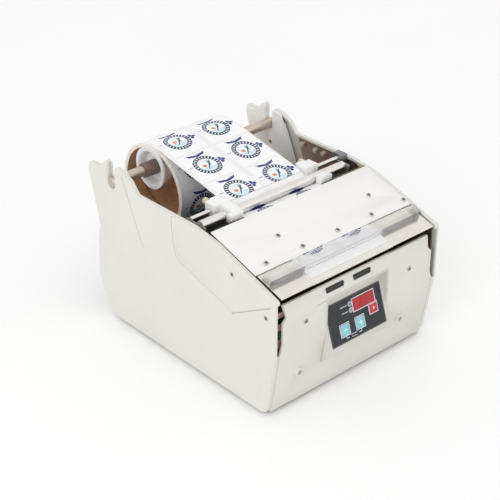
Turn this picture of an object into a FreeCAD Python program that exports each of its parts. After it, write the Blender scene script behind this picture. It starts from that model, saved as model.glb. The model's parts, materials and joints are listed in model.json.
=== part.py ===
import FreeCAD, Part
import math
import os
import re

import Sketcher
from FreeCAD import Placement, Rotation, Vector

# Desk-top label dispenser.  A roll of labels hangs on a reel at the back, the web runs under two guide
# rods and over a sloping slide plate to a sharp peel edge, and the empty liner is pulled back round a
# rubber drive roller to a rewind spool.
#
# Frame: +Z up, +X to the machine's right seen from the operator, -Y towards the operator.  The origin is
# at the bottom centre of the whole machine.  Lengths are in millimetres, angles in degrees.

SIZES = {
    # overall body
    "half_width": (100, "half the width over the two side covers"),
    "front_reach": (125.9, "origin to the covers' front edges"),
    "rear_reach": (124.1, "origin to the tips of the rear horns"),
    "foot_height": (3, "height of the covers' undersides above the table"),
    "skin_wall": (2.5, "wall of the moulded side covers"),
    "cover_depth": (6, "width of the covers' rim, skin included"),
    "grip_rim": (3.5, "width of the covers' rim beside the finger gaps, skin included"),
    "rim_round": (3, "rounding of the covers' outer edge"),
    "sheet_wall": (1.5, "thickness of the steel sheet parts"),
    "fit_gap": (0.4, "clearance between neighbouring sheet parts"),
    # side outline of the covers
    "toe_setback": (10.5, "set-back of the front edge at the bottom"),
    "knee_height": (64, "height where the front edge turns upright"),
    "brow_height": (116, "height of the front edge's upper end"),
    "sill_run": (75, "front edge to the end of the sloping rim"),
    "sill_height": (140, "height of the rim there"),
    "rim_run": (102, "front edge to the start of the level rim"),
    "rim_height": (144, "height of the level rim"),
    "horn_foot": (36, "shaft axis forward to the foot of the front horn"),
    "horn_knee": (27.5, "shaft axis forward to the knee of the front horn"),
    "knee_rise": (9, "rise of the horn's knee above the rim"),
    "horn_shoulder": (17, "shaft axis forward to the shoulder of the front horn"),
    "shoulder_rise": (14, "rise of the horn's shoulder above the rim"),
    "horn_height": (159.6, "height of the horn in front of the slot"),
    "lip_height": (163.9, "height of the slot's rear lip"),
    "saddle_run": (18.5, "shaft axis back to the low point of the saddle"),
    "saddle_height": (152.5, "height of the saddle"),
    "neck_setback": (13.5, "set-back of the rear edge at the neck"),
    "neck_height": (91.5, "height of the neck"),
    "hip_setback": (9.5, "set-back of the rear edge below the neck"),
    "hip_height": (80, "height of that point"),
    "heel_height": (38, "height where the rear edge turns in"),
    "heel_setback": (25, "set-back of the rear edge at the bottom"),
    # reel
    "shaft_from_rear": (34.2, "rear horn tips forward to the reel shaft"),
    "shaft_height": (142.4, "height of the reel shaft above the covers' undersides"),
    "shaft_radius": (5, "radius of the reel shaft"),
    "slot_clearance": (0.2, "clearance of the shaft in the slots"),
    "running_gap": (0.3, "gap between curved pieces that move past each other"),
    "bore_gap": (0.05, "radial clearance of a shaft in its bore"),
    "core_bore": (38, "inner radius of the cardboard core"),
    "core_wall": (2.5, "wall of the cardboard core"),
    "roll_build": (1.6, "thickness of labels left on the core"),
    "roll_width": (92, "width of the label roll"),
    "roll_shift": (-6.5, "middle of the roll along X"),
    "hub_radius": (17.7, "radius of the reel flange's hub"),
    "hub_reach": (10, "length of the hub inside the core"),
    "lip_radius": (20.2, "radius of the reel flange's lip"),
    "lip_wall": (2.2, "thickness of the reel flange's lip"),
    "collar_radius": (7, "radius of the clamping collars"),
    "collar_length": (15.5, "length of the clamping collars"),
    # web path
    "web_wall": (0.3, "thickness of the label web and of the liner"),
    "slope": (17.2, "slope of the slide plate"),
    "nose_setback": (0.9, "peel edge behind the covers' front edges"),
    "nose_height": (116.2, "height of the peel edge"),
    "slide_length": (88.4, "length of the slide plate along the slope"),
    "slide_half": (91.5, "half width of the slide plate"),
    "slide_wall": (1.2, "thickness of the slide plate"),
    "nose_radius": (0.6, "radius of the peel edge"),
    "front_rod_run": (102, "front edge back to the front guide rod"),
    "front_rod_height": (142.4, "height of the front guide rod"),
    "front_rod_radius": (4.5, "radius of the front guide rod"),
    "rear_rod_run": (115, "front edge back to the rear guide rod"),
    "rear_rod_height": (143.5, "height of the rear guide rod"),
    "rear_rod_radius": (2, "radius of the rear guide rod"),
    # covers and bars on the slide plate
    "plate_half": (93.2, "half width of the top plate"),
    "plate_start": (30.9, "peel edge to the top plate's front edge"),
    "plate_gap": (0.6, "throat between slide plate and top plate"),
    "plate_wall": (1.2, "thickness of the top plate"),
    "bar_start": (15.3, "peel edge to the hold-down bar"),
    "bar_depth": (11.3, "depth of the hold-down bar along the slope"),
    "bar_wall": (5, "thickness of the hold-down bar"),
    "bar_half": (90.5, "half width of the hold-down bar"),
    "screw_head": (2.3, "radius of the small screw heads"),
    "screw_shank": (1.5, "radius of the small screws"),
    "screw_gap": (0.1, "clearance round the small screws"),
    # drive
    "drive_run": (54, "front edge back to the drive roller"),
    "drive_height": (86, "height of the drive roller"),
    "drive_radius": (11, "radius of the drive roller"),
    "pinch_radius": (8, "radius of the pinch roller"),
    "roller_half": (60, "half length of the rollers"),
    "axle_radius": (4, "radius of the drive and rewind shafts"),
    "pinch_axle": (3, "radius of the pinch axle and its pivot rod"),
    "pivot_run": (80, "front edge back to the pinch arm's pivot"),
    "pivot_height": (62, "height of the pinch arm's pivot"),
    "spool_run": (100, "front edge back to the rewind spool"),
    "spool_radius": (15, "radius of the rewind spool's tube"),
    "spool_flange": (28, "radius of the rewind spool's flanges"),
    "motor_run": (130, "front edge back to the motor"),
    "motor_height": (27, "height of the motor"),
    "gearbox_radius": (18.5, "radius of the gearbox"),
    "can_radius": (16.5, "radius of the motor can"),
    "drive_pulley": (16, "radius of the drive roller's belt pulley"),
    "motor_pulley": (8, "radius of the motor's belt pulley"),
    "slip_pulley": (10, "radius of the drive roller's slip-belt pulley"),
    "spool_pulley": (14, "radius of the spool's slip-belt pulley"),
    "belt_wall": (1.4, "thickness of the drive belt"),
    # front cover and control panel
    "door_half": (93.4, "half width of the front cover"),
    "door_wall": (2.5, "wall of the front cover"),
    "crease_height": (96.5, "height of the front cover's crease"),
    "brim_height": (107.6, "height of the front cover's top edge"),
    "brim_setback": (3.6, "set-back of the front cover's top edge"),
    "grip_half": (90.2, "half width of the front cover beside the finger gaps"),
    "hinge_run": (17.5, "front edge back to the front cover's hinge"),
    "hinge_height": (7, "height of the front cover's hinge"),
    "hinge_pin": (2, "radius of the hinge pins"),
    "hinge_span": (83, "middle to the outer faces of the hinge lugs"),
    "panel_tilt": (18.3, "lean of the control panel from upright"),
    "panel_run": (2.3, "front edge back to the panel's reference point"),
    "panel_height": (66.2, "height of the panel's reference point"),
    "panel_shift": (-2.5, "middle of the panel along X"),
    "panel_half": (37.5, "half width of the panel housing"),
    "panel_chin": (26.9, "reference point down to the housing's lower lip"),
    "overlay_half": (33.2, "half width of the membrane overlay"),
    "overlay_low": (21.5, "reference point down to the overlay's lower edge"),
    "overlay_high": (16.5, "reference point up to the overlay's upper edge"),
    "overlay_wall": (0.4, "thickness of the membrane overlay"),
    "face_wall": (2.2, "wall of the panel housing's face"),
    "board_wall": (1.6, "thickness of the circuit boards"),
    "key_gap": (0.25, "gap round the keys"),
    # frame inside
    "pan_height": (2.8, "height of the base pan's underside"),
    "pan_start": (24, "front edge back to the base pan"),
    "rocker_pin": (1.2, "radius of the power rocker's trunnions"),
    "panel_depth": (220, "front edge back to the rear panel"),
    "tray_height": (48, "height of the reel tray"),
    "tray_start": (152, "front edge back to the reel tray"),
    "rear_top": (70, "height of the rear panel's top edge"),
    "cheek_in": (91.8, "middle to the inner faces of the white cheeks"),
    "cheek_wall": (2, "thickness of the white cheeks"),
    "foot_radius": (7, "radius of the rubber feet"),
}

document = FreeCAD.newDocument("label_dispenser")
sheet = document.addObject("Spreadsheet::Sheet", "Sizes")
for row, (alias, (number, note)) in enumerate(SIZES.items(), start=1):
    sheet.set(f"A{row}", note)
    sheet.set(f"B{row}", str(number))
    sheet.setAlias(f"B{row}", alias)
document.recompute()

WORD = re.compile(r"\b(" + "|".join(sorted(SIZES, key=len, reverse=True)) + r")\b")
PIECES = {}


def expression(text):
    """A size written with the sheet's names, as an expression that FreeCAD can bind."""
    return WORD.sub(r"Sizes.\1", str(text))


def size(text):
    """The present value of a size written with the sheet's names."""
    return float(sheet.evalExpression(expression(text)))


def front(run):
    """Y of a point that lies `run` behind the covers' front edges."""
    return f"(({run}) - front_reach)"


def above(rise):
    """Z of a point that lies `rise` above the covers' undersides."""
    return f"(foot_height + ({rise}))"


def minus(text):
    """The same length the other way."""
    return f"(-({text}))"


def times(sign, text):
    """A length on the right (+1) or left (-1) side of the machine."""
    return f"({sign} * ({text}))"


# Places that several pieces share.
SHAFT_Y = "(rear_reach - shaft_from_rear)"
SHAFT_Z = above("shaft_height")
PLATE_OUT = "(half_width - skin_wall - fit_gap)"
PLATE_IN = f"({PLATE_OUT} - sheet_wall)"
CORE_DROP = "(core_bore - hub_radius - running_gap)"
ROLL_Z = f"({SHAFT_Z} - {CORE_DROP})"
ROLL_RADIUS = "(core_bore + core_wall + roll_build)"
ROLL_LEFT = "(roll_shift - roll_width / 2)"
ROLL_RIGHT = "(roll_shift + roll_width / 2)"
SLIDE_Y = front("nose_setback")
SLIDE_Z = above("nose_height")
DRIVE_Y = front("drive_run")
DRIVE_Z = above("drive_height")
NIP_Z = f"({DRIVE_Z} - drive_radius - running_gap - web_wall / 2)"
PINCH_Z = f"({NIP_Z} - web_wall / 2 - running_gap - pinch_radius)"
PIVOT_Y = front("pivot_run")
PIVOT_Z = above("pivot_height")
SPOOL_Y = front("spool_run")
SPOOL_Z = f"({NIP_Z} + web_wall / 2 + running_gap + spool_radius)"
MOTOR_Y = front("motor_run")
MOTOR_Z = above("motor_height")
PAN_Z = above("pan_height")
PAN_TOP = f"({PAN_Z} + sheet_wall)"
TRAY_Z = above("tray_height")
TRAY_TOP = f"({TRAY_Z} + sheet_wall)"
HINGE_Y = front("hinge_run")
HINGE_Z = above("hinge_height")
BOLT_RUNS = ("142.8", "153.5", "171")
BOLT_HEIGHT = "(rim_height - 9.2)"
COVER_SCREWS = (("51.7", "120.8"), ("10.3", "97.9"))
SCREW_PITCH = "((2 * plate_half - 20) / 4)"
PLATE_SCREWS = [(f"(17.2 - plate_half + {i} * {SCREW_PITCH})", "37.5") for i in range(5)]
PLATE_SCREWS += [("(48.2 - plate_half)", "57.6"), ("(plate_half - 28.2)", "57.6")]

# The sketch planes of a body: the role of its origin plane, and which way that plane's normal points.
PLANES = {"XY": ("XY_Plane", 1), "XZ": ("XZ_Plane", -1), "YZ": ("YZ_Plane", 1)}


def put(thing, at, axis=None, angle=None):
    """Place an object by expressions; the angle turns it about the axis."""
    thing.Placement = Placement(Vector(0, 0, 0), Rotation(axis or Vector(0, 0, 1), 0))
    for name, text in zip("xyz", at):
        thing.setExpression(f"Placement.Base.{name}", expression(text))
    if angle is not None:
        thing.Placement = Placement(Vector(0, 0, 0), Rotation(axis, size(angle)))
        thing.setExpression("Placement.Rotation.Angle", expression(angle))


class Piece:
    """A body made of sketches and features, each bound to the sheet."""

    def __init__(self, label, at=None, axis=None, angle=None, listed=True):
        self.body = document.addObject("PartDesign::Body", label)
        self.body.Label = label
        if listed:
            PIECES[label] = self.body
        if at is not None:
            put(self.body, at, axis, angle)

    def sketch(self, plane, offset):
        """An empty sketch parallel to one of the body's planes, `offset` along that plane's world axis."""
        role, sign = PLANES[plane]
        origin_plane = next(f for f in self.body.Origin.OriginFeatures if f.Role == role)
        drawing = self.body.newObject("Sketcher::SketchObject", "Sketch")
        drawing.AttachmentSupport = [(origin_plane, "")]
        drawing.MapMode = "FlatFace"
        drawing.setExpression("AttachmentOffset.Base.z", expression(times(sign, offset)))
        return drawing

    def feature(self, kind, drawing, reverse, length):
        """A pad or pocket of a sketch along the plane's world axis."""
        made = self.body.newObject(kind, kind.split("::")[1])
        made.Profile = drawing
        made.Reversed = reverse
        made.setExpression("Length", expression(length))
        drawing.Visibility = False
        document.recompute([made])
        return made

    def pad(self, plane, points, start, length):
        """Add a prism with a polygonal outline."""
        drawing = self.sketch(plane, start)
        polygon(drawing, points)
        self.feature("PartDesign::Pad", drawing, PLANES[plane][1] < 0, length)
        return self

    def cut(self, plane, points, start, length):
        """Take away a prism with a polygonal outline."""
        drawing = self.sketch(plane, start)
        polygon(drawing, points)
        self.feature("PartDesign::Pocket", drawing, PLANES[plane][1] > 0, length)
        return self

    def disc(self, plane, centres, radius, start, length):
        """Add round bosses."""
        drawing = self.sketch(plane, start)
        circles(drawing, centres, radius)
        self.feature("PartDesign::Pad", drawing, PLANES[plane][1] < 0, length)
        return self

    def drill(self, plane, centres, radius, start, length):
        """Take away round holes."""
        drawing = self.sketch(plane, start)
        circles(drawing, centres, radius)
        self.feature("PartDesign::Pocket", drawing, PLANES[plane][1] > 0, length)
        return self

    def turn(self, points):
        """Add a solid of revolution about the body's X axis; points are (x, radius)."""
        drawing = self.sketch("XZ", "0")
        polygon(drawing, points)
        made = self.body.newObject("PartDesign::Revolution", "Revolution")
        made.Profile = drawing
        made.ReferenceAxis = (drawing, ["H_Axis"])
        made.Angle = 360
        document.recompute([made])
        return self

    def round(self, radius, chosen):
        """Fillet the edges that `chosen` picks."""
        base = self.body.Tip
        names = [f"Edge{i + 1}" for i, edge in enumerate(base.Shape.Edges) if chosen(edge)]
        made = self.body.newObject("PartDesign::Fillet", "Fillet")
        made.Base = (base, names)
        made.setExpression("Radius", expression(radius))
        document.recompute([made])
        return self

    def round_corners(self, radius, points):
        """Fillet the edges along X that pass through the given (y, z) points."""
        places = [(size(y), size(z)) for y, z in points]
        return self.round(radius, lambda edge: any(along_x_at(edge, y, z) for y, z in places))


def along_x_at(edge, y, z):
    """Whether an edge is straight, runs along X and passes through (y, z)."""
    box = edge.BoundBox
    thin = box.YLength < 1e-6 and box.ZLength < 1e-6
    return thin and abs(box.YMin - y) < 0.01 and abs(box.ZMin - z) < 0.01


def polygon(drawing, points):
    """Draw a closed polygon whose corners are bound to expressions."""
    values = [(size(x), size(y)) for x, y in points]
    lines = []
    for start, end in zip(values, values[1:] + values[:1]):
        line = Part.LineSegment(Vector(*start, 0), Vector(*end, 0))
        lines.append(drawing.addGeometry(line, False))
    for index, (x, y) in enumerate(points):
        drawing.addConstraint(Sketcher.Constraint("Coincident", lines[index - 1], 2, lines[index], 1))
        for kind, text, now in (("DistanceX", x, values[index][0]), ("DistanceY", y, values[index][1])):
            made = drawing.addConstraint(Sketcher.Constraint(kind, -1, 1, lines[index], 1, now))
            drawing.setExpression(f"Constraints[{made}]", expression(text))


def circles(drawing, centres, radius):
    """Draw circles whose centres and radius are bound to expressions."""
    for x, y in centres:
        centre = Vector(size(x), size(y), 0)
        ring = drawing.addGeometry(Part.Circle(centre, Vector(0, 0, 1), size(radius)), False)
        for kind, text, now in (("DistanceX", x, centre.x), ("DistanceY", y, centre.y)):
            made = drawing.addConstraint(Sketcher.Constraint(kind, -1, 1, ring, 3, now))
            drawing.setExpression(f"Constraints[{made}]", expression(text))
        made = drawing.addConstraint(Sketcher.Constraint("Radius", ring, size(radius)))
        drawing.setExpression(f"Constraints[{made}]", expression(radius))


def box(x0, x1, y0, y1):
    """The four corners of a rectangle between two x and two y values."""
    return [(x0, y0), (x1, y0), (x1, y1), (x0, y1)]


def cylinder(radius, x0, x1, y, z, label=None):
    """A round bar along X from x0 to x1."""
    bar = document.addObject("Part::Cylinder", label or "Bar")
    bar.setExpression("Radius", expression(radius))
    bar.setExpression("Height", expression(f"({x1}) - ({x0})"))
    bar.Placement = Placement(Vector(0, 0, 0), Rotation(Vector(0, 1, 0), 90))
    for name, text in zip("xyz", (x0, y, z)):
        bar.setExpression(f"Placement.Base.{name}", expression(text))
    if label:
        bar.Label = label
        PIECES[label] = bar
    return bar


def group(label, members, at=None, axis=None, angle=None):
    """One node made of several separate solids of the same kind."""
    made = document.addObject("Part::Compound", label)
    made.Label = label
    made.Links = members
    PIECES[label] = made
    if at is not None:
        put(made, at, axis, angle)
    return made


def fused(members):
    """Several overlapping primitives as one solid."""
    made = document.addObject("Part::MultiFuse", "Fused")
    made.Shapes = members
    made.Refine = True
    return made


def arc_points(centre, radius, start, end):
    """Start, middle and end of an arc in the YZ plane, angles in radians."""
    angles = (start, (start + end) / 2, end)
    return [Vector(0, centre[0] + radius * math.cos(a), centre[1] + radius * math.sin(a)) for a in angles]


def tangent(first, second):
    """Angles at which a strap leaves one circle and meets the next.

    A stop is (y, z, radius, way): way +1 when the strap turns anticlockwise round it, seen from +X.
    """
    dy, dz = second[0] - first[0], second[1] - first[1]
    away = math.hypot(dy, dz)
    lean = math.asin((first[3] * first[2] - second[3] * second[2]) / away)
    heading = math.atan2(dz, dy) + lean
    return heading - first[3] * math.pi / 2, heading - second[3] * math.pi / 2


def strap(label, stops, wall, x0, x1, closed=False):
    """A thin strap that follows straight runs and tangent arcs round its stops.

    The stops' radii are those of the strap's middle line; the first and last stop of an open strap
    have no radius.
    """
    count = len(stops)
    legs = [(stops[i], stops[(i + 1) % count]) for i in range(count if closed else count - 1)]
    angles = [tangent(a, b) for a, b in legs]
    half = wall / 2

    def side(offset):
        """The edges of one face of the strap."""
        edges = []
        for i, ((a, b), (leave, meet)) in enumerate(zip(legs, angles)):
            begin = on_stop(a, leave, offset)
            finish = on_stop(b, meet, offset)
            edges.append(Part.makeLine(begin, finish))
            if closed or i < len(legs) - 1:
                turn_to = angles[(i + 1) % len(legs)][0]
                while b[3] * (turn_to - meet) < 0:
                    turn_to += b[3] * 2 * math.pi
                radius = b[2] + b[3] * offset
                edges.append(Part.Arc(*arc_points(b, radius, meet, turn_to)).toShape())
        return edges

    def on_stop(stop, angle, offset):
        """A point of the strap's face, offset to the right of its run."""
        reach = stop[2] + stop[3] * offset
        return Vector(0, stop[0] + reach * math.cos(angle), stop[1] + reach * math.sin(angle))

    right, left = side(half), side(-half)
    if closed:
        face = Part.makeFace([Part.Wire(right), Part.Wire(left)], "Part::FaceMakerBullseye")
    else:
        ends = [
            Part.makeLine(right[-1].Vertexes[-1].Point, left[-1].Vertexes[-1].Point),
            Part.makeLine(left[0].Vertexes[0].Point, right[0].Vertexes[0].Point),
        ]
        face = Part.Face(Part.Wire(Part.__sortEdges__(right + left + ends)))
    solid = face.extrude(Vector(x1 - x0, 0, 0))
    solid.translate(Vector(x0, 0, 0))
    made = document.addObject("Part::Feature", label)
    made.Label = label
    made.Shape = solid
    PIECES[label] = made
    return made


def on_slope(along, up):
    """(y, z) of a point `along` the slide plate from the peel edge and `up` from its surface."""
    angle = math.radians(size("slope"))
    y = size(SLIDE_Y) + along * math.cos(angle) - up * math.sin(angle)
    z = size(SLIDE_Z) + along * math.sin(angle) + up * math.cos(angle)
    return y, z


def sloped(label):
    """A body whose XY plane is the surface of the slide plate, with its origin at the peel edge."""
    return Piece(label, ("0", SLIDE_Y, SLIDE_Z), Vector(1, 0, 0), "slope")


def panelled(label):
    """A body whose XY plane is the control panel's face, X to the right, Y up the face, Z outward."""
    place = ("panel_shift", front("panel_run"), above("panel_height"))
    return Piece(label, place, Vector(1, 0, 0), "90 - panel_tilt")


def to_panel(y, z):
    """A point of the machine's YZ plane, as (up the panel, out of the panel)."""
    dy = f"(({y}) - {front('panel_run')})"
    dz = f"(({z}) - {above('panel_height')})"
    up = f"({dy} * sin(panel_tilt) + {dz} * cos(panel_tilt))"
    out = f"({dz} * sin(panel_tilt) - {dy} * cos(panel_tilt))"
    return up, out


# ---------------------------------------------------------------------------------------------------
# Side covers: moulded shells with a rim, two horns and a slot for the reel shaft.

SLOT_HALF = "(shaft_radius + slot_clearance)"
SLOT_FLOOR = f"({SHAFT_Z} - {SLOT_HALF})"
HORN_OUTLINE = {
    "foot": (f"({SHAFT_Y} - horn_foot)", above("rim_height - 0.8")),
    "knee": (f"({SHAFT_Y} - horn_knee)", above("rim_height + knee_rise")),
    "shoulder": (f"({SHAFT_Y} - horn_shoulder)", above("rim_height + shoulder_rise")),
    "slot_front": (f"({SHAFT_Y} - {SLOT_HALF})", above("horn_height")),
    "slot_front_floor": (f"({SHAFT_Y} - {SLOT_HALF})", SLOT_FLOOR),
    "slot_rear_floor": (f"({SHAFT_Y} + {SLOT_HALF})", SLOT_FLOOR),
    "slot_rear": (f"({SHAFT_Y} + {SLOT_HALF})", above("lip_height")),
    "saddle": (f"({SHAFT_Y} + saddle_run)", above("saddle_height")),
    "rear_rise": ("(rear_reach - 6)", above("saddle_height - 0.6")),
    "rear_tip": ("(rear_reach - 1.5)", above("saddle_height + 1")),
    "rear_point": ("rear_reach", above("saddle_height - 6.5")),
    "neck": ("(rear_reach - neck_setback)", above("neck_height")),
    "hip": ("(rear_reach - hip_setback)", above("hip_height")),
    "heel": ("(rear_reach - hip_setback + 2)", above("heel_height")),
    "heel_floor": ("(rear_reach - heel_setback)", above("0")),
}
FACE_OUTLINE = {
    "toe": (front("toe_setback"), above("0")),
    "knee_front": (front("0"), above("knee_height")),
    "brow": (front("0"), above("brow_height")),
    "sill": (front("sill_run"), above("sill_height")),
    "rim": (front("rim_run"), above("rim_height")),
}
COVER_OUTLINE = {**FACE_OUTLINE, **HORN_OUTLINE}
CORNER_ROUNDS = (
    ("8", ("toe", "heel_floor")),
    ("3.5", ("brow", "rear_tip")),
    ("2", ("slot_front", "slot_rear")),
    (f"{SLOT_HALF} - 0.02", ("slot_front_floor", "slot_rear_floor")),
    ("4", ("foot", "knee", "shoulder", "neck", "hip", "heel", "rear_point")),
    ("6", ("saddle",)),
    ("20", ("sill", "rim")),
)


HOLLOW_ROUNDS = (
    ("5.5", ("toe", "heel_floor")),
    ("1", ("brow", "rear_tip", "knee", "shoulder", "rear_point")),
    ("3", ("slot_front_floor", "slot_rear_floor")),
)


def inset(outline, distance):
    """A clockwise outline moved inwards by a distance, with the names of its corners kept."""
    corners = [Vector(size(y), size(z), 0) for y, z in outline.values()]
    moved = {}
    for index, name in enumerate(outline):
        here = corners[index]
        ahead = (corners[(index + 1) % len(corners)] - here).normalize()
        behind = (here - corners[index - 1]).normalize()
        inward_ahead, inward_behind = Vector(ahead.y, -ahead.x, 0), Vector(behind.y, -behind.x, 0)
        step = (inward_ahead + inward_behind) * (distance / (1 + inward_ahead.dot(inward_behind)))
        moved[name] = (f"{here.x + step.x:.6f}", f"{here.y + step.y:.6f}")
    return moved


def side_cover(label, side):
    """One moulded side cover, open towards the machine's middle."""
    inner = "(half_width - cover_depth)"
    start = inner if side > 0 else "(-half_width)"
    cover = Piece(label)
    cover.pad("YZ", list(COVER_OUTLINE.values()), start, "cover_depth")
    for radius, names in CORNER_ROUNDS:
        cover.round_corners(radius, [COVER_OUTLINE[name] for name in names])
    outer_x = side * size("half_width")
    cover.round("rim_round", lambda edge: abs(edge.BoundBox.XMin - outer_x) < 1e-6
                and edge.BoundBox.XLength < 1e-6)
    hollow = inset(COVER_OUTLINE, size("skin_wall"))
    hollow_start = f"({inner} - 1)" if side > 0 else "(skin_wall - half_width)"
    cover.cut("YZ", list(hollow.values()), hollow_start, "cover_depth - skin_wall + 1")
    for radius, names in HOLLOW_ROUNDS:
        cover.round_corners(radius, [hollow[name] for name in names])
    grip_start = f"({inner} - 1)" if side > 0 else "(grip_rim - half_width)"
    grip = box(front("-1"), front("skin_wall + 1.5"), above("knee_height - 1.4"),
               above("brow_height - skin_wall - 1"))
    cover.cut("YZ", grip, grip_start, "cover_depth - grip_rim + 1")
    skin_start = "(half_width - skin_wall - 1)" if side > 0 else "(-half_width - 1)"
    holes = [(front(y), above(z)) for y, z in COVER_SCREWS]
    cover.drill("YZ", holes, "screw_shank + screw_gap", skin_start, "skin_wall + 2")
    head_start = "(half_width - 1.2)" if side > 0 else "(-half_width - 1)"
    cover.drill("YZ", holes, "screw_head + 2 * screw_gap", head_start, "2.2")
    for depth, points in CREASES:
        crease_start = f"(half_width - {depth})" if side > 0 else "(-half_width - 1)"
        cover.cut("YZ", points, crease_start, f"1 + {depth}")
    return cover


def crease(points, width):
    """The outline of a narrow groove along a line of (run, height) points."""
    low = [(front(y), above(f"{z} - {width} / 2")) for y, z in points]
    high = [(front(y), above(f"{z} + {width} / 2")) for y, z in reversed(points)]
    return low + high


# Style lines moulded into the outer faces: a seam below the upper panel and two fainter folds.
CREASES = (
    ("0.7", crease((("3", "111.5"), ("49.3", "84.3")), "0.9")),
    ("0.35", crease((("49.3", "84.3"), ("115.7", "101.7"), ("126.2", "117")), "0.7")),
)

side_cover("left_cover", -1)
side_cover("right_cover", 1)

# White cheeks: sheet pieces that line the reel bay and carry the shaft in open slots.
FOLD_TOP = ("horn_shoulder", "(rim_height + shoulder_rise - 1.2)")
FOLD_SLOPE = 0.454


def fold_y(height):
    """Y of the cheeks' leaning front edge at a height above the covers' undersides."""
    return f"({SHAFT_Y} - {FOLD_TOP[0]} - {FOLD_SLOPE} * ({FOLD_TOP[1]} - ({height})))"


def cheek(label, side):
    """One cheek with its slot, its round hole and the flange along its front edge."""
    trim = "1"
    start = "cheek_in" if side > 0 else "(-cheek_in - cheek_wall)"
    foot = "(tray_height + sheet_wall + 0.2)"
    outline = [
        (fold_y(FOLD_TOP[1]), above(FOLD_TOP[1])),
        (HORN_OUTLINE["slot_front"][0], above(f"horn_height - {trim}")),
        HORN_OUTLINE["slot_front_floor"],
        HORN_OUTLINE["slot_rear_floor"],
        (HORN_OUTLINE["slot_rear"][0], above(f"lip_height - {trim}")),
        (HORN_OUTLINE["saddle"][0], above(f"saddle_height - {trim}")),
        (HORN_OUTLINE["rear_rise"][0], above(f"saddle_height - 0.6 - {trim}")),
        ("(rear_reach - 2)", above("saddle_height - 1.5")),
        ("(rear_reach - 2)", above("saddle_height - 6.5")),
        ("(rear_reach - neck_setback - 1.5)", above("neck_height")),
        ("(rear_reach - hip_setback - 1.5)", above("hip_height")),
        ("(rear_reach - hip_setback - 1.5)", above(foot)),
        (fold_y(foot), above(foot)),
    ]
    made = Piece(label)
    made.pad("YZ", outline, start, "cheek_wall")
    made.round_corners(f"{SLOT_HALF} - 0.02", outline[2:4])
    made.round_corners("2", [outline[i] for i in (1, 4)])
    made.round_corners("3", [outline[i] for i in (0, 5, 7)])
    made.drill("YZ", [(front("213"), above("123.4"))], "2", f"{start} - 1", "cheek_wall + 2")
    low, high = "70", f"({FOLD_TOP[1]} - 8)"
    flange = [
        (fold_y(low), above(low)),
        (fold_y(high), above(high)),
        (f"{fold_y(high)} + sheet_wall", above(high)),
        (f"{fold_y(low)} + sheet_wall", above(low)),
    ]
    reach = f"({PLATE_IN} - 0.1 - cheek_in)"
    made.pad("YZ", flange, "cheek_in" if side > 0 else f"(-cheek_in - {reach})", reach)
    return made


cheek("left_cheek", -1)
cheek("right_cheek", 1)


# Steel side plates: they carry every shaft, rod and panel between the covers.
def side_plate(label, side):
    """One side plate with its bearing holes and screw holes."""
    start = PLATE_IN if side > 0 else minus(PLATE_OUT)
    outline = [
        (front("18"), above("pan_height")),
        (front("6"), above("knee_height")),
        (front("6"), above("brow_height - 6")),
        (front("sill_run"), above("sill_height - 4.5")),
        (front("rim_run"), above("rim_height - 4.2")),
        (front("177"), above("rim_height - 4.7")),
        (front("161"), above("tray_height + 42")),
        (front("161"), above("tray_height - 0.2")),
        (front("panel_depth - 0.2"), above("tray_height - 0.2")),
        (front("panel_depth - 0.2"), above("pan_height")),
    ]
    made = Piece(label)
    made.pad("YZ", outline, start, "sheet_wall")
    inside, through = f"{start} - 1", "sheet_wall + 2"
    made.drill("YZ", [(DRIVE_Y, DRIVE_Z), (SPOOL_Y, SPOOL_Z)], "axle_radius + 2.1", inside, through)
    made.drill("YZ", [(PIVOT_Y, PIVOT_Z)], "pinch_axle + bore_gap", inside, through)
    holes = [(front(run), above(BOLT_HEIGHT)) for run in BOLT_RUNS]
    holes += [(front(y), above(z)) for y, z in COVER_SCREWS]
    made.drill("YZ", holes, "screw_shank + screw_gap", inside, through)
    return made


side_plate("left_side_plate", -1)
side_plate("right_side_plate", 1)


# Cover fasteners: two countersunk screws and three studs with nuts on each side.
def cover_screw(side, y, z):
    """A screw from the cover's face into the side plate."""
    head = cylinder("screw_head", "(half_width - 1.2)", "(half_width - 0.1)", y, z)
    shank = cylinder("screw_shank", PLATE_IN, "(half_width - 0.6)", y, z)
    if side < 0:
        head.setExpression("Placement.Base.x", expression("-(half_width - 0.1)"))
        shank.setExpression("Placement.Base.x", expression("-(half_width - 0.6)"))
    return fused([head, shank])


def cover_stud(side, y, z):
    """A stud of the cover with its nut on the side plate's inner face."""
    nut_start, nut_end = f"({PLATE_IN} - 1.8)", PLATE_IN
    stud_start, stud_end = f"({PLATE_IN} - 2.4)", "(half_width - skin_wall)"
    if side < 0:
        nut_start, nut_end = minus(PLATE_IN), f"(-{PLATE_IN} + 1.8)"
        stud_start, stud_end = "(skin_wall - half_width)", f"(-{PLATE_IN} + 2.4)"
    nut = cylinder("screw_head + 0.4", nut_start, nut_end, y, z)
    return fused([nut, cylinder("screw_shank", stud_start, stud_end, y, z)])


fasteners = []
for side in (-1, 1):
    fasteners += [cover_screw(side, front(y), above(z)) for y, z in COVER_SCREWS]
    fasteners += [cover_stud(side, front(run), above(BOLT_HEIGHT)) for run in BOLT_RUNS]
group("cover_screws", fasteners)

# ---------------------------------------------------------------------------------------------------
# Chassis sheets.

EAR_OUT = "(hinge_span + 3)"


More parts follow.
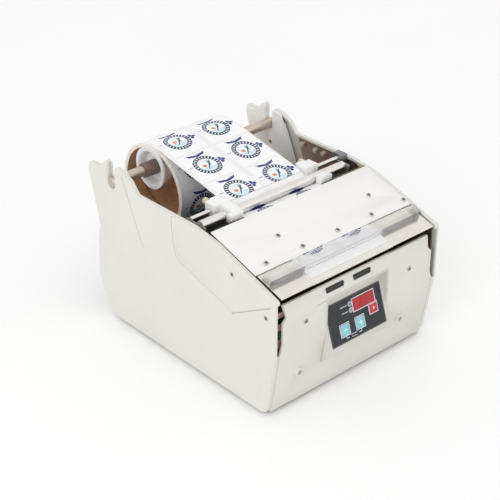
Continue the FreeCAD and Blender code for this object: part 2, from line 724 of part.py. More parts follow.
def base_pan():
    """The base pan with its front flange, its two hinge ears and its standoffs."""
    pan = Piece("base_pan")
    wide = f"({PLATE_IN} - 0.1)"
    pan.pad("XY", box(minus(wide), wide, front("pan_start"), front("panel_depth - 0.2")), PAN_Z, "sheet_wall")
    flange = box(minus("70"), "70", front("pan_start"), front("pan_start + sheet_wall"))
    pan.pad("XY", flange, PAN_Z, "9")
    ear = [
        (front("pan_start + 1"), PAN_Z),
        (front("pan_start + 1"), above("hinge_height + 4.5")),
        (front("hinge_run - 3.2"), above("hinge_height + 4.5")),
        (front("hinge_run - 3.2"), above("hinge_height - 3.5")),
        (front("pan_start - 1"), above("hinge_height - 3.5")),
    ]
    for start in ("(hinge_span + 1)", f"(-{EAR_OUT})"):
        pan.pad("YZ", ear, start, "2")
        pan.drill("YZ", [(HINGE_Y, HINGE_Z)], "hinge_pin + bore_gap", f"{start} - 1", "4")
    pan.disc("XY", BOARD_POSTS, "2.5", f"({PAN_TOP} - 0.5)", "6.5")
    return pan


BOARD_X = ("(-62)", "38")
BOARD_RUN = ("62", "106")
BOARD_POSTS = [(x, front(f"{run} {inset} 4")) for x in ("(-58)", "34")
               for run, inset in ((BOARD_RUN[0], "+"), (BOARD_RUN[1], "-"))]
base_pan()

rear = Piece("rear_panel")
narrow, wide = "(cheek_in - fit_gap)", f"({PLATE_IN} - 0.1)"
step = above("tray_height + sheet_wall + 0.2")
rear.pad("XZ", [
    (minus(wide), PAN_Z), (wide, PAN_Z), (wide, step), (narrow, step), (narrow, above("rear_top")),
    (minus(narrow), above("rear_top")), (minus(narrow), step), (minus(wide), step),
], front("panel_depth"), "sheet_wall")
INLET = ((f"({PLATE_IN} - 75.6)", f"({PLATE_IN} - 45.6)"), ("12", "36"))
SWITCH = ((f"({PLATE_IN} - 35.6)", f"({PLATE_IN} - 13.6)"), ("16", "32"))
for (x0, x1), (z0, z1) in (INLET, SWITCH):
    rear.cut("XZ", box(f"({x0} - 0.2)", f"({x1} + 0.2)", above(f"{z0} - 0.2"), above(f"{z1} + 0.2")),
             front("panel_depth - 1"), "sheet_wall + 2")

tray = Piece("reel_tray")
tray.pad("XY", box(minus(wide), wide, front("tray_start"), front("panel_depth - 0.2")), TRAY_Z, "sheet_wall")
tray.pad("XY", box(minus(f"({PLATE_IN} - 3.6)"), f"({PLATE_IN} - 3.6)", front("tray_start"),
                   front("tray_start + sheet_wall")),
         PAN_TOP, f"{TRAY_Z} - {PAN_TOP} + 0.5")
tray.cut("XZ", box("(-20)", f"({PLATE_IN} - 19.6)", above("pan_height + 8"), above("tray_height - 8")),
         front("tray_start - 1"), "sheet_wall + 2")

feet = []
for x in (f"(17.6 - {PLATE_IN})", f"({PLATE_IN} - 17.6)"):
    for run in ("36", "206"):
        foot = document.addObject("Part::Cylinder", "Foot")
        foot.setExpression("Radius", expression("foot_radius"))
        foot.setExpression("Height", expression(PAN_Z))
        put(foot, (x, front(run), "0"))
        feet.append(foot)
group("feet", feet)

# ---------------------------------------------------------------------------------------------------
# Slide plate, its bed, the top plate and the clear hold-down bar, all on the slope.

slide = sloped("peel_plate")
slide.pad("XY", box(minus("slide_half"), "slide_half", "0", "slide_length"), "(-slide_wall)", "slide_wall")
slide.round("nose_radius - 0.02", lambda edge: edge.BoundBox.XLength > 100
            and abs(edge.BoundBox.YMin) < 1e-6 and abs(edge.BoundBox.YMax) < 1e-6)

bed = sloped("paper_bed")
bed_out, bed_low = "(slide_half + 1.4)", "(-slide_wall - sheet_wall)"
bed.pad("XY", box(minus(bed_out), bed_out, "10", "slide_length + 3"), bed_low, "sheet_wall")
bed.pad("YZ", box("(slide_length + 1.2)", "(slide_length + 3)", bed_low, "(-0.4)"), minus(bed_out),
        f"2 * {bed_out}")
for side in (-1, 1):
    outer = times(side, bed_out)
    inner = times(side, f"({bed_out} - sheet_wall)")
    bed.pad("XY", box(inner, outer, "14", "slide_length"), "(-14)", f"14 + {bed_low} + 0.5")
    tab_in, tab_out = times(side, f"({bed_out} - 1)"), times(side, f"({PLATE_IN} - 0.1)")
    bed.pad("XY", box(tab_in, tab_out, "20", "80"), "(-14)", "sheet_wall")
bed.cut("XY", box(f"({ROLL_LEFT} - 4)", f"({ROLL_RIGHT} + 4)", "(slide_length - 0.6)", "slide_length + 8"),
        "(-9)", "12")
deep_spots = [(x, along) for x, along in PLATE_SCREWS
              if abs(size(x) - size("roll_shift")) > size("roll_width / 2 + 3")
              and abs(size(x)) < size("slide_half - 5")]
for piece in (slide, bed):
    piece.drill("XY", deep_spots, "screw_shank + screw_gap", "(-slide_wall - sheet_wall - 1)", "6")

top = sloped("top_plate")
throat, crest = "plate_gap", "(plate_gap + plate_wall)"
top.pad("YZ", [
    ("plate_start", throat), ("(slide_length + 0.4)", throat), ("(slide_length + 0.4)", crest),
    ("(plate_start + 11.5)", crest), ("plate_start", f"({crest} - 0.5)"),
], minus("plate_half"), "2 * plate_half")
top.drill("XY", PLATE_SCREWS, "screw_shank + screw_gap", "(plate_gap - 1)", "4")

bar = sloped("hold_down_bar")
bar_low = "plate_gap"
bar.pad("XY", [
    (minus("bar_half"), "bar_start"), ("(bar_half - 1.5)", "bar_start"),
    ("bar_half", "bar_start + bar_depth"), (minus("bar_half"), "bar_start + bar_depth"),
], bar_low, "bar_wall")
for x0, x1 in ((minus("bar_half"), "(6 - bar_half)"), ("(bar_half - 8)", "(bar_half - 2)")):
    bar.pad("XY", box(x0, x1, "bar_start + 1", "bar_start + bar_depth - 1"), "0", "plate_gap + 0.5")

small_screws = []
for x, along in PLATE_SCREWS:
    rise = f"{crest} - 0.1" if along == PLATE_SCREWS[0][1] else crest
    tip = "(-slide_wall - sheet_wall - 1)" if (x, along) in deep_spots else "plate_gap"
    head = document.addObject("Part::Cylinder", "Head")
    head.setExpression("Radius", expression("screw_head"))
    head.Height = 0.8
    put(head, (x, along, rise))
    shank = document.addObject("Part::Cylinder", "Shank")
    shank.setExpression("Radius", expression("screw_shank"))
    shank.setExpression("Height", expression(f"{crest} + 0.3 - {tip}"))
    put(shank, (x, along, tip))
    small_screws.append(fused([head, shank]))
group("plate_screws", small_screws, ("0", SLIDE_Y, SLIDE_Z), Vector(1, 0, 0), "slope")

# ---------------------------------------------------------------------------------------------------
# Guide rods, their brackets and the sliding label guides.

FRONT_ROD = (front("front_rod_run"), above("front_rod_height"))
REAR_ROD = (front("rear_rod_run"), above("rear_rod_height"))
ROD_LEFT = "(-(cheek_in - 1))"
BRACKET_X = "(cheek_in - 12.8)"
REAR_HOLD = "(cheek_in - 5.8)"
cylinder("front_rod_radius", ROD_LEFT, BRACKET_X, *FRONT_ROD, label="guide_rod_front")
cylinder("rear_rod_radius", ROD_LEFT, REAR_HOLD, *REAR_ROD, label="guide_rod_rear")


def bracket(outlines):
    """A bent sheet bracket: a list of (plane, outline, start, length)."""
    piece = Piece("Bracket", listed=False)
    for plane, outline, start, length in outlines:
        piece.pad(plane, outline, start, length)
    return piece.body


BRACKET_FOOT = above("rim_height - 27")
tab_end = f"({PLATE_IN} - 0.1)"
left_bracket = bracket([
    ("YZ", box(front("front_rod_run - 8"), front("rear_rod_run + 5"), BRACKET_FOOT,
               above("rim_height - 0.4")),
     "(-cheek_in - 0.6)", "1.6"),
    ("XY", box(minus(tab_end), "(-cheek_in + 0.8)", front("front_rod_run - 8"), front("rear_rod_run + 5")),
     BRACKET_FOOT, "sheet_wall"),
])
right_bracket = bracket([
    ("YZ", box(front("front_rod_run - 8"), front("front_rod_run + 7"), BRACKET_FOOT,
               above("front_rod_height + front_rod_radius - 1")), BRACKET_X, "sheet_wall"),
    ("XY", box(BRACKET_X, tab_end, front("front_rod_run - 8"), front("rear_rod_run + 6")), BRACKET_FOOT,
     "sheet_wall"),
    ("YZ", box(front("rear_rod_run - 5"), front("rear_rod_run + 6"), BRACKET_FOOT,
               above("rear_rod_height + rear_rod_radius + 2")), REAR_HOLD, "7.4"),
])
group("rod_brackets", [left_bracket, right_bracket])

GUIDE_GAP = "0.5"
LEFT_GUIDE_X = f"({ROLL_LEFT} - {GUIDE_GAP})"
RIGHT_GUIDE_X = f"({ROLL_RIGHT} + {GUIDE_GAP})"
LUG_START = "(slide_length * cos(slope) + nose_setback + 4.6)"


def label_guide(label, knob_label, side, edge):
    """A moulded guide that slides on both rods and steers one edge of the web."""
    guide = Piece(label)
    start = edge if side > 0 else f"({edge} - 9.5)"
    if side < 0:
        outline = [
            (front(LUG_START), above("rim_height - 2.6")), (front(LUG_START), above("rim_height + 3.2")),
            (front("front_rod_run - 6"), above("rim_height + 6.4")),
            (front("rear_rod_run + 8"), above("rim_height + 6.4")),
            (front("rear_rod_run + 8"), above("rim_height - 6")),
            (front("front_rod_run - 5"), above("rim_height - 8")),
        ]
    else:
        seat = "(front_rod_height - front_rod_radius - bore_gap)"
        outline = [
            (front(LUG_START), above("rim_height - 2.6")), (front(LUG_START), above("rim_height + 4.6")),
            (front("front_rod_run - front_rod_radius - 1.4"), above("rim_height + 4.6")),
            (front("front_rod_run - front_rod_radius - 0.4"), above(seat)),
            (front("front_rod_run + front_rod_radius + 2"), above(seat)),
            (front("front_rod_run + front_rod_radius + 3"), above("rim_height + 6.4")),
            (front("rear_rod_run + 8"), above("rim_height + 6.4")),
            (front("rear_rod_run + 8"), above("rim_height - 8")),
            (front("front_rod_run + 2"), above("rim_height - 10.5")),
            (front("front_rod_run - 8"), above("rim_height - 9")),
        ]
    guide.pad("YZ", outline, start, "9.5")
    wide_start = f"{start} - 6" if side < 0 else f"{start} + 8.5"
    lug = box(front("rear_rod_run - 5"), front("rear_rod_run + 7"), above("rim_height - 5"),
              above("rim_height + 5.6"))
    guide.pad("YZ", lug, wide_start, "7")
    toe = box(front(LUG_START), front("front_rod_run - front_rod_radius - 1.4"), above("rim_height - 2"),
              above("rim_height + 3.2"))
    guide.pad("YZ", toe, f"{start} + 8.5" if side > 0 else f"{start} - 4", "5")
    crown = size(above("rim_height + 6.4"))
    guide.round("0.7", lambda edge: abs(edge.BoundBox.ZMin - crown) < 1e-6
                and edge.BoundBox.YLength > 8 and edge.BoundBox.XLength < 1e-6)
    bore_start = f"{start} - 8"
    if side < 0:
        guide.drill("YZ", [FRONT_ROD], "front_rod_radius + bore_gap", bore_start, "28")
    guide.drill("YZ", [REAR_ROD], "rear_rod_radius + bore_gap", bore_start, "28")
    knob_x = f"({start} - 1)" if side < 0 else f"({start} + 10.5)"
    knob_place = (knob_x, front("rear_rod_run + 8"), above("rim_height + 2.6"))
    knob = Piece(knob_label, knob_place, Vector(0, 0, 1), "90")
    knob.turn([("0", "0"), ("2.6", "0"), ("5.6", "1.2"), ("5.6", "2.7"), ("5.2", "3.1"), ("0.5", "3.1"),
               ("0", "2.6")])


label_guide("guide_left", "guide_knob_left", -1, LEFT_GUIDE_X)
label_guide("guide_right", "guide_knob_right", 1, RIGHT_GUIDE_X)

# ---------------------------------------------------------------------------------------------------
# Reel: shaft, collars, flanges, core and roll.  All are turned about the X axis.

SHAFT_END = "(half_width - 1.2)"


def at_shaft(label):
    """A turned piece on the reel shaft."""
    return Piece(label, ("0", SHAFT_Y, SHAFT_Z))


at_shaft("reel_shaft").turn([
    (minus(SHAFT_END), "0"), (minus(SHAFT_END), "shaft_radius - 0.8"),
    (f"(0.8 - {SHAFT_END})", "shaft_radius"),
    (f"({SHAFT_END} - 0.8)", "shaft_radius"), (SHAFT_END, "shaft_radius - 0.8"), (SHAFT_END, "0"),
])


def reel_flange(label, side, edge):
    """A stepped flange: the hub carries the core from inside, the lip keeps the roll in place."""
    face = times(side, "1")
    bore = "shaft_radius + bore_gap"

    def x(outward):
        """X of a point that lies `outward` from the core's end."""
        return f"({edge} + {face} * ({outward}))"

    return at_shaft(label).turn([
        (x("running_gap"), "lip_radius"), (x("running_gap + lip_wall"), "lip_radius"),
        (x("running_gap + lip_wall"), "lip_radius - 3.4"), (x("1.2"), "hub_radius - 2.4"),
        (x("(-4.5)"), "hub_radius - 4"),
        (x("(-4.5)"), "shaft_radius + 3.4"), (x("(-5)"), "shaft_radius + 2.6"), (x("(-5)"), bore),
        (x("(-hub_reach)"), bore), (x("(-hub_reach)"), "hub_radius - 1.2"),
        (x("(1.2 - hub_reach)"), "hub_radius"), (x("running_gap"), "hub_radius"),
    ])


def collar(side, edge):
    """A clamping collar that sets a flange's place on the shaft."""
    piece = Piece("Collar", ("0", SHAFT_Y, SHAFT_Z), listed=False)
    first = f"({edge} + {side} * (running_gap - 5))"
    last = f"({edge} + {side} * (running_gap - 5 + collar_length))"
    piece.turn([
        (first, "shaft_radius"), (last, "shaft_radius"), (last, "collar_radius - 0.6"),
        (f"({last} - {side} * 0.6)", "collar_radius"), (first, "collar_radius"),
    ])
    return piece.body


reel_flange("flange_left", -1, ROLL_LEFT)
reel_flange("flange_right", 1, ROLL_RIGHT)
group("reel_collars", [collar(-1, ROLL_LEFT), collar(1, ROLL_RIGHT)])

core = Piece("cardboard_core", ("0", SHAFT_Y, ROLL_Z))
core.turn([(ROLL_LEFT, "core_bore"), (ROLL_RIGHT, "core_bore"), (ROLL_RIGHT, "core_bore + core_wall"),
           (ROLL_LEFT, "core_bore + core_wall")])
roll = Piece("label_roll", ("0", SHAFT_Y, ROLL_Z))
roll.turn([(ROLL_LEFT, "core_bore + core_wall"), (ROLL_RIGHT, "core_bore + core_wall"),
           (ROLL_RIGHT, ROLL_RADIUS), (ROLL_LEFT, ROLL_RADIUS)])

# ---------------------------------------------------------------------------------------------------
# Drive: rubber roller, sprung pinch roller, rewind spool, motor and belts.

SHAFT_REACH = f"({PLATE_OUT} - 0.2)"
BELT_X = (f"({PLATE_IN} - 11.6)", f"({PLATE_IN} - 4.6)")
SLIP_X = (f"(5.6 - {PLATE_IN})", f"(11.6 - {PLATE_IN})")

cylinder("axle_radius", minus(SHAFT_REACH), SHAFT_REACH, DRIVE_Y, DRIVE_Z, label="drive_shaft")
drive = Piece("drive_roller", ("0", DRIVE_Y, DRIVE_Z))
drive.turn([(minus("roller_half"), "axle_radius"), ("roller_half", "axle_radius"),
            ("roller_half", "drive_radius"), (minus("roller_half"), "drive_radius")])


def pulley(x0, x1, radius, bore, flange):
    """The outline of a pulley: a flat rim between two low flanges, bored for its shaft."""
    return [
        (x0, bore), (x1, bore), (x1, f"{radius} + {flange}"), (f"({x1} - 0.9)", f"{radius} + {flange}"),
        (f"({x1} - 1.1)", radius), (f"({x0} + 1.1)", radius), (f"({x0} + 0.9)", f"{radius} + {flange}"),
        (x0, f"{radius} + {flange}"),
    ]


pulleys = []
for x0, x1, radius in ((*BELT_X, "drive_pulley"), (*SLIP_X, "slip_pulley")):
    wheel = Piece("Pulley", ("0", DRIVE_Y, DRIVE_Z), listed=False)
    wheel.turn(pulley(x0, x1, radius, "axle_radius", "1.6"))
    pulleys.append(wheel.body)
group("drive_pulleys", pulleys)

bushes = []
for side in (-1, 1):
    for y, z in ((DRIVE_Y, DRIVE_Z), (SPOOL_Y, SPOOL_Z)):
        bush = Piece("Bush", ("0", y, z), listed=False)
        seat, tip = times(side, PLATE_IN), times(side, PLATE_OUT)
        inner = times(side, f"({PLATE_IN} - 1.4)")
        bush.turn([(inner, "axle_radius + bore_gap"), (tip, "axle_radius + bore_gap"),
                   (tip, "axle_radius + 2"),
                   (seat, "axle_radius + 2"), (seat, "axle_radius + 4"), (inner, "axle_radius + 4")])
        bushes.append(bush.body)
group("shaft_bushes", bushes)

ARM_X = ("(roller_half + 6)", "(roller_half + 8.5)")
arm = Piece("pinch_arm")
ARM_OUTLINE = [
    (front("drive_run - 5.5"), f"({PINCH_Z} - 5)"), (front("drive_run + 4"), f"({PINCH_Z} - 6)"),
    (front("pivot_run + 6"), f"({PIVOT_Z} - 6)"), (front("pivot_run + 6"), f"({PIVOT_Z} + 5)"),
    (front("drive_run + 4"), f"({PINCH_Z} + 5.5)"), (front("drive_run - 5.5"), f"({PINCH_Z} + 5.5)"),
]
arm.disc("YZ", [(PIVOT_Y, PIVOT_Z)], "pinch_axle", minus(SHAFT_REACH), f"2 * {SHAFT_REACH}")
for start in (ARM_X[0], minus(ARM_X[1])):
    arm.pad("YZ", ARM_OUTLINE, start, "2.5")
arm.drill("YZ", [(DRIVE_Y, PINCH_Z)], "pinch_axle + bore_gap", "(-roller_half - 15)", "2 * roller_half + 30")

cylinder("pinch_axle", "(-roller_half - 12)", "(roller_half + 12)", DRIVE_Y, PINCH_Z, label="pinch_axle")
pinch = Piece("pinch_roller", ("0", DRIVE_Y, PINCH_Z))
pinch.turn([(minus("roller_half"), "pinch_axle"), ("roller_half", "pinch_axle"),
            ("roller_half", "pinch_radius"), (minus("roller_half"), "pinch_radius")])


springs = []
for x0, x1 in (("(roller_half + 12)", "(roller_half + 20)"), ("(-roller_half - 20)", "(-roller_half - 12)")):
    spring = Piece("Spring", ("0", PIVOT_Y, PIVOT_Z), listed=False)
    turns = 5
    inner, outer = "pinch_axle + 0.3", "pinch_axle + 1.7"
    pitch = f"(({x1}) - ({x0})) / {turns}"
    outline = [(x0, inner), (x1, inner)]
    for i in range(turns, 0, -1):
        outline.append((f"{x0} + ({i}) * {pitch}", outer))
        outline.append((f"{x0} + ({i} - 0.75) * {pitch}", outer))
        if i > 1:
            outline.append((f"{x0} + ({i} - 0.85) * {pitch}", "pinch_axle + 0.8"))
            outline.append((f"{x0} + ({i} - 1) * {pitch}", "pinch_axle + 0.8"))
    outline.append((x0, outer))
    spring.turn(outline)
    springs.append(spring.body)
group("pinch_springs", springs)

spool = Piece("rewind_spool", ("0", SPOOL_Y, SPOOL_Z))
FLANGE_X = "(roller_half + 2)"
spool.turn([
    (minus(SHAFT_REACH), "0"), (minus(SHAFT_REACH), "axle_radius"), (SLIP_X[0], "axle_radius"),
    *reversed(pulley(*SLIP_X, "spool_pulley", "axle_radius", "1.6")[2:]), (SLIP_X[1], "axle_radius"),
    (f"(-{FLANGE_X} - 2)", "axle_radius"), (f"(-{FLANGE_X} - 2)", "spool_flange"),
    (minus(FLANGE_X), "spool_flange"), (minus(FLANGE_X), "spool_radius"), (FLANGE_X, "spool_radius"),
    (FLANGE_X, "spool_flange"), (f"({FLANGE_X} + 2)", "spool_flange"), (f"({FLANGE_X} + 2)", "axle_radius"),
    (SHAFT_REACH, "axle_radius"), (SHAFT_REACH, "0"),
])

BRACKET_FACE = f"({PLATE_IN} - 23.6)"
gear = Piece("gearmotor", ("0", MOTOR_Y, MOTOR_Z))
gear.turn([
    (f"({BRACKET_FACE} - 67)", "0"), (f"({BRACKET_FACE} - 67)", "5"), (f"({BRACKET_FACE} - 64)", "5"),
    (f"({BRACKET_FACE} - 64)", "can_radius"), (f"({BRACKET_FACE} - 26)", "can_radius"),
    (f"({BRACKET_FACE} - 26)", "gearbox_radius"),
    (BRACKET_FACE, "gearbox_radius"), (BRACKET_FACE, "6"), (f"{BRACKET_FACE} + 3", "6"),
    (f"{BRACKET_FACE} + 3", "0"),
])
stand = Piece("motor_bracket")
stand.pad("YZ", box(front("motor_run - 21"), front("motor_run + 21"), PAN_TOP, above("motor_height + 20")),
          BRACKET_FACE, "sheet_wall")
stand.pad("XY", box(f"{BRACKET_FACE} + 0.5", f"{BRACKET_FACE} + 10", front("motor_run - 21"),
                    front("motor_run + 21")),
          PAN_TOP, "sheet_wall")
stand.drill("YZ", [(MOTOR_Y, MOTOR_Z)], "6.2", f"{BRACKET_FACE} - 1", "4")
wheel = Piece("motor_pulley", ("0", MOTOR_Y, MOTOR_Z))
wheel.turn([
    (f"({BRACKET_FACE} + 3.3)", "0"), (f"({BELT_X[1]} + 2)", "0"), (f"({BELT_X[1]} + 2)", "3"),
    (BELT_X[1], "3"),
    *pulley(*BELT_X, "motor_pulley", "3", "1.6")[2:], (BELT_X[0], "3"), (f"({BRACKET_FACE} + 3.3)", "3"),
])


def belt(label, first, second, wall, x0, x1):
    """A closed belt round two pulleys: each is (y, z, radius)."""
    gap = size("running_gap")
    stops = [(size(y), size(z), size(radius) + gap + wall / 2, 1) for y, z, radius in (first, second)]
    return strap(label, stops, wall, x0, x1, closed=True)


belt("drive_belt", (DRIVE_Y, DRIVE_Z, "drive_pulley"), (MOTOR_Y, MOTOR_Z, "motor_pulley"),
     size("belt_wall"), size(f"{BELT_X[0]} + 1.4"), size(f"{BELT_X[1]} - 1.4"))
belt("rewind_belt", (DRIVE_Y, DRIVE_Z, "slip_pulley"), (SPOOL_Y, SPOOL_Z, "spool_pulley"),
     1.2, size(f"{SLIP_X[0]} + 1.6"), size(f"{SLIP_X[1]} - 1.6"))

# ---------------------------------------------------------------------------------------------------
# Web: the free span off the roll, the span over the slide plate, and the liner back to the spool.

web = size("web_wall")
half_web = web / 2
left_edge, right_edge = size(ROLL_LEFT), size(ROLL_RIGHT)
rear_rod = (size(REAR_ROD[0]), size(REAR_ROD[1]), size("rear_rod_radius") + half_web, 1)
front_rod = (size(FRONT_ROD[0]), size(FRONT_ROD[1]), size("front_rod_radius") + half_web, -1)
roll_stop = (size(SHAFT_Y), size(ROLL_Z), size(ROLL_RADIUS) + size("running_gap") + half_web, 1)
bed_edge = (*on_slope(size("slide_length"), half_web - 2), 2, 1)
nose = (*on_slope(size("nose_radius"), -size("nose_radius")), size("nose_radius + bore_gap") + half_web, 1)
hand_over = (*on_slope(6, half_web), 0, 1)
drive_stop = (size(DRIVE_Y), size(DRIVE_Z), size("drive_radius") + size("running_gap") + half_web, 1)


def between(first, second, share):
    """A stop without a radius on the straight run between two stops."""
    leave, meet = tangent(first, second)
    start = [first[0] + first[2] * math.cos(leave), first[1] + first[2] * math.sin(leave)]
    end = [second[0] + second[2] * math.cos(meet), second[1] + second[2] * math.sin(meet)]
    return (start[0] + share * (end[0] - start[0]), start[1] + share * (end[1] - start[1]), 0, 1)


split = between(roll_stop, rear_rod, 0.97)
roll_top = between(roll_stop, rear_rod, 0.004)
strap("roll_tail", [roll_top, split], web, left_edge, right_edge)
join = between(roll_stop, rear_rod, 0.98)
strap("label_web", [join, rear_rod, front_rod, bed_edge, hand_over], web, left_edge, right_edge)
spool_end = (size(SPOOL_Y) - 1, size(NIP_Z), 0, 1)
start_liner = (*on_slope(5.6, half_web), 0, 1)
strap("liner_web", [start_liner, nose, drive_stop, spool_end], web, left_edge, right_edge)

# ---------------------------------------------------------------------------------------------------
# Label sensor under the bed, and the electrical parts.

sensor = sloped("label_sensor")
sensor.pad("XY", box("(-9)", "9", "44", "58"), "(-12)", f"12 + {bed_low} - running_gap")
sensor.pad("XY", box("(-4)", "4", "41", "45"), "(-10)", "4")

main_board = Piece("main_board")
board_z = f"({PAN_TOP} + 6)"
main_board.pad("XY", box(*BOARD_X, front(BOARD_RUN[0]), front(BOARD_RUN[1])), board_z, "board_wall")
for x0, x1, run0, run1, tall in (("(-54)", "(-38)", "70", "92", "14"), ("(-30)", "(-12)", "68", "84", "5"),
                                 ("(-6)", "6", "72", "98", "9"), ("14", "30", "70", "78", "10")):
    main_board.pad("XY", box(x0, x1, front(run0), front(run1)), f"({board_z} + board_wall - 0.1)", tall)

supply = Piece("power_supply")
case_x = f"(15.6 - {PLATE_IN})"
supply.pad("XY", box(case_x, f"({case_x} + 54)", front("tray_start + 10"), front("tray_start + 58")),
           PAN_TOP, "34")
supply.pad("XY", box(f"({case_x} + 8)", f"({case_x} + 46)", front("tray_start + 4"),
                     front("tray_start + 14")),
           f"({PAN_TOP} + 6)", "20")

inlet = Piece("power_inlet")
for (x0, x1), (z0, z1) in (INLET, SWITCH):
    inlet.pad("XZ", box(x0, x1, above(z0), above(z1)), front("panel_depth - 18"), "18 + sheet_wall")
(ix0, ix1), (iz0, iz1) = INLET
(sx0, sx1), (sz0, sz1) = SWITCH
inlet.pad("XZ", box(f"{ix0} - 3", f"{sx1} + 3", above("9"), above("39")),
          front("panel_depth + sheet_wall"), "2")
inlet.pad("XZ", box(ix0, sx1, above("14"), above("34")), front("panel_depth - 18"), "4")
inlet.cut("XZ", box(f"{ix0} + 2.5", f"{ix1} - 2.5", above(f"{iz0} + 2.5"), above(f"{iz1} - 2.5")),
          front("panel_depth - 13"), "20")
inlet.cut("XZ", box(f"{sx0} + 2", f"{sx1} - 2", above(f"{sz0} + 2"), above(f"{sz1} - 2")),
          front("panel_depth - 12"), "20")
pins = [(f"({ix0} + {x})", above(z)) for x, z in (("10", "26"), ("20", "26"), ("15", "20"))]
inlet.disc("XZ", pins, "1.4", front("panel_depth - 13.2"), "11")

ROCKER_AXIS = (front("panel_depth + 1"), above("24"))
inlet.drill("YZ", [ROCKER_AXIS], "rocker_pin + bore_gap", f"{sx0} - 1", f"{sx1} - {sx0} + 2")

ROCKER_X = (f"({sx0} + 2.6)", f"({sx1} - 2.6)")
rocker = Piece("power_rocker")
rocker.pad("YZ", [
    (front("panel_depth - 8"), above("21")), (front("panel_depth + 2.4"), above("18.9")),
    (front("panel_depth + 5.6"), above("18.9")), (front("panel_depth + 3.8"), above("24")),
    (front("panel_depth + 4.8"), above("29.1")), (front("panel_depth + 2.4"), above("29.1")),
    (front("panel_depth - 8"), above("27")),
], ROCKER_X[0], f"{ROCKER_X[1]} - {ROCKER_X[0]}")
rocker.disc("YZ", [ROCKER_AXIS], "rocker_pin", f"{ROCKER_X[0]} - 1.8", f"{ROCKER_X[1]} - {ROCKER_X[0]} + 3.6")

# ---------------------------------------------------------------------------------------------------
# Front cover: it hinges forward at its lower edge and carries the control panel.

OPEN_HALF = "(panel_half + 0.3)"
door = Piece("front_cover")
OUTER = [
    (front("toe_setback * (1 - 0.8 / knee_height)"), above("0.8")), (front("0"), above("knee_height")),
    (front("0"), above("crease_height")), (front("brim_setback"), above("brim_height")),
]
INNER = [(f"({y} + door_wall)", z) for y, z in reversed(OUTER)]
door.pad("YZ", OUTER + INNER, minus("door_half"), "2 * door_half")
for side in (-1, 1):
    gap = [
        (times(side, "(door_half + 1)"), above("knee_height - 2")),
        (times(side, "door_half"), above("knee_height - 2")),
        (times(side, "grip_half"), above("knee_height + 8")),
        (times(side, "grip_half"), above("crease_height - 4")),
        (times(side, "(grip_half - 4.2)"), above("crease_height + 0.5")),
        (times(side, "(grip_half - 2)"), above("brim_height + 1")),
        (times(side, "(door_half + 1)"), above("brim_height + 1")),
    ]
    door.cut("XZ", gap, front("-1"), "20")
    lug = [
        (front("10.6"), above("1.8")), (front("hinge_run - 1"), above("hinge_height - 4")),
        (front("hinge_run + 4"), above("hinge_height - 2.4")),
        (front("hinge_run + 4"), above("hinge_height + 2.4")),
        (front("hinge_run"), above("hinge_height + 4")), (front("10"), above("20")),
        (front("9"), above("12")),
    ]
    lug_start = "(hinge_span - 5)" if side > 0 else "(-hinge_span)"
    door.pad("YZ", lug, lug_start, "5")
    pin_start = "(hinge_span - 1)" if side > 0 else "(-hinge_span - 4)"
    door.disc("YZ", [(HINGE_Y, HINGE_Z)], "hinge_pin", pin_start, "5")
OPEN_LOW, OPEN_HIGH = "29.6", "(crease_height + 0.4)"
x_left, x_right = f"(panel_shift - {OPEN_HALF})", f"(panel_shift + {OPEN_HALF})"
door.cut("XZ", box(x_left, x_right, above(OPEN_LOW), above("crease_height - 0.6")), front("-2"), "30")
WINDOW_X = ("(-29.5)", "3")
for middle in WINDOW_X:
    door.cut("XZ", box(f"({middle} - 10.2)", f"({middle} + 10.2)", above("crease_height + 3.6"),
                       above("crease_height + 8.4")), front("-2"), "30")
DOOR_SCREWS = [
    ("(25.4 - door_half)", above("34")), ("(29.4 - door_half)", above("(crease_height - 12)")),
    ("(door_half - 37.1)", above("34")), ("(door_half - 31.4)", above("(crease_height - 12)")),
]
door.disc("XZ", DOOR_SCREWS, "4", front("1.5"), "9")
door.drill("XZ", DOOR_SCREWS, "screw_shank + screw_gap", front("-2"), "11")
for x, z in DOOR_SCREWS:
    face = "0" if z == DOOR_SCREWS[1][1] else "5.1"
    door.drill("XZ", [(x, z)], "screw_head + 2 * screw_gap", front("-2"), f"2 + {face} + 1")
screws = []
for x, z in DOOR_SCREWS:
    face = "0" if z == DOOR_SCREWS[1][1] else "5.1"
    head = document.addObject("Part::Cylinder", "Head")
    head.setExpression("Radius", expression("screw_head"))
    head.Height = 1.2
    shank = document.addObject("Part::Cylinder", "Shank")
    shank.setExpression("Radius", expression("screw_shank"))
    shank.setExpression("Height", expression(f"7.9 - {face}"))
    for bolt in (head, shank):
        bolt.Placement = Placement(Vector(0, 0, 0), Rotation(Vector(1, 0, 0), -90))
        run = f"{face} - 0.2" if bolt is head else f"{face} + 0.8"
        for name, text in zip("xyz", (x, front(run), z)):
            bolt.setExpression(f"Placement.Base.{name}", expression(text))
    screws.append(fused([head, shank]))
group("door_screws", screws)


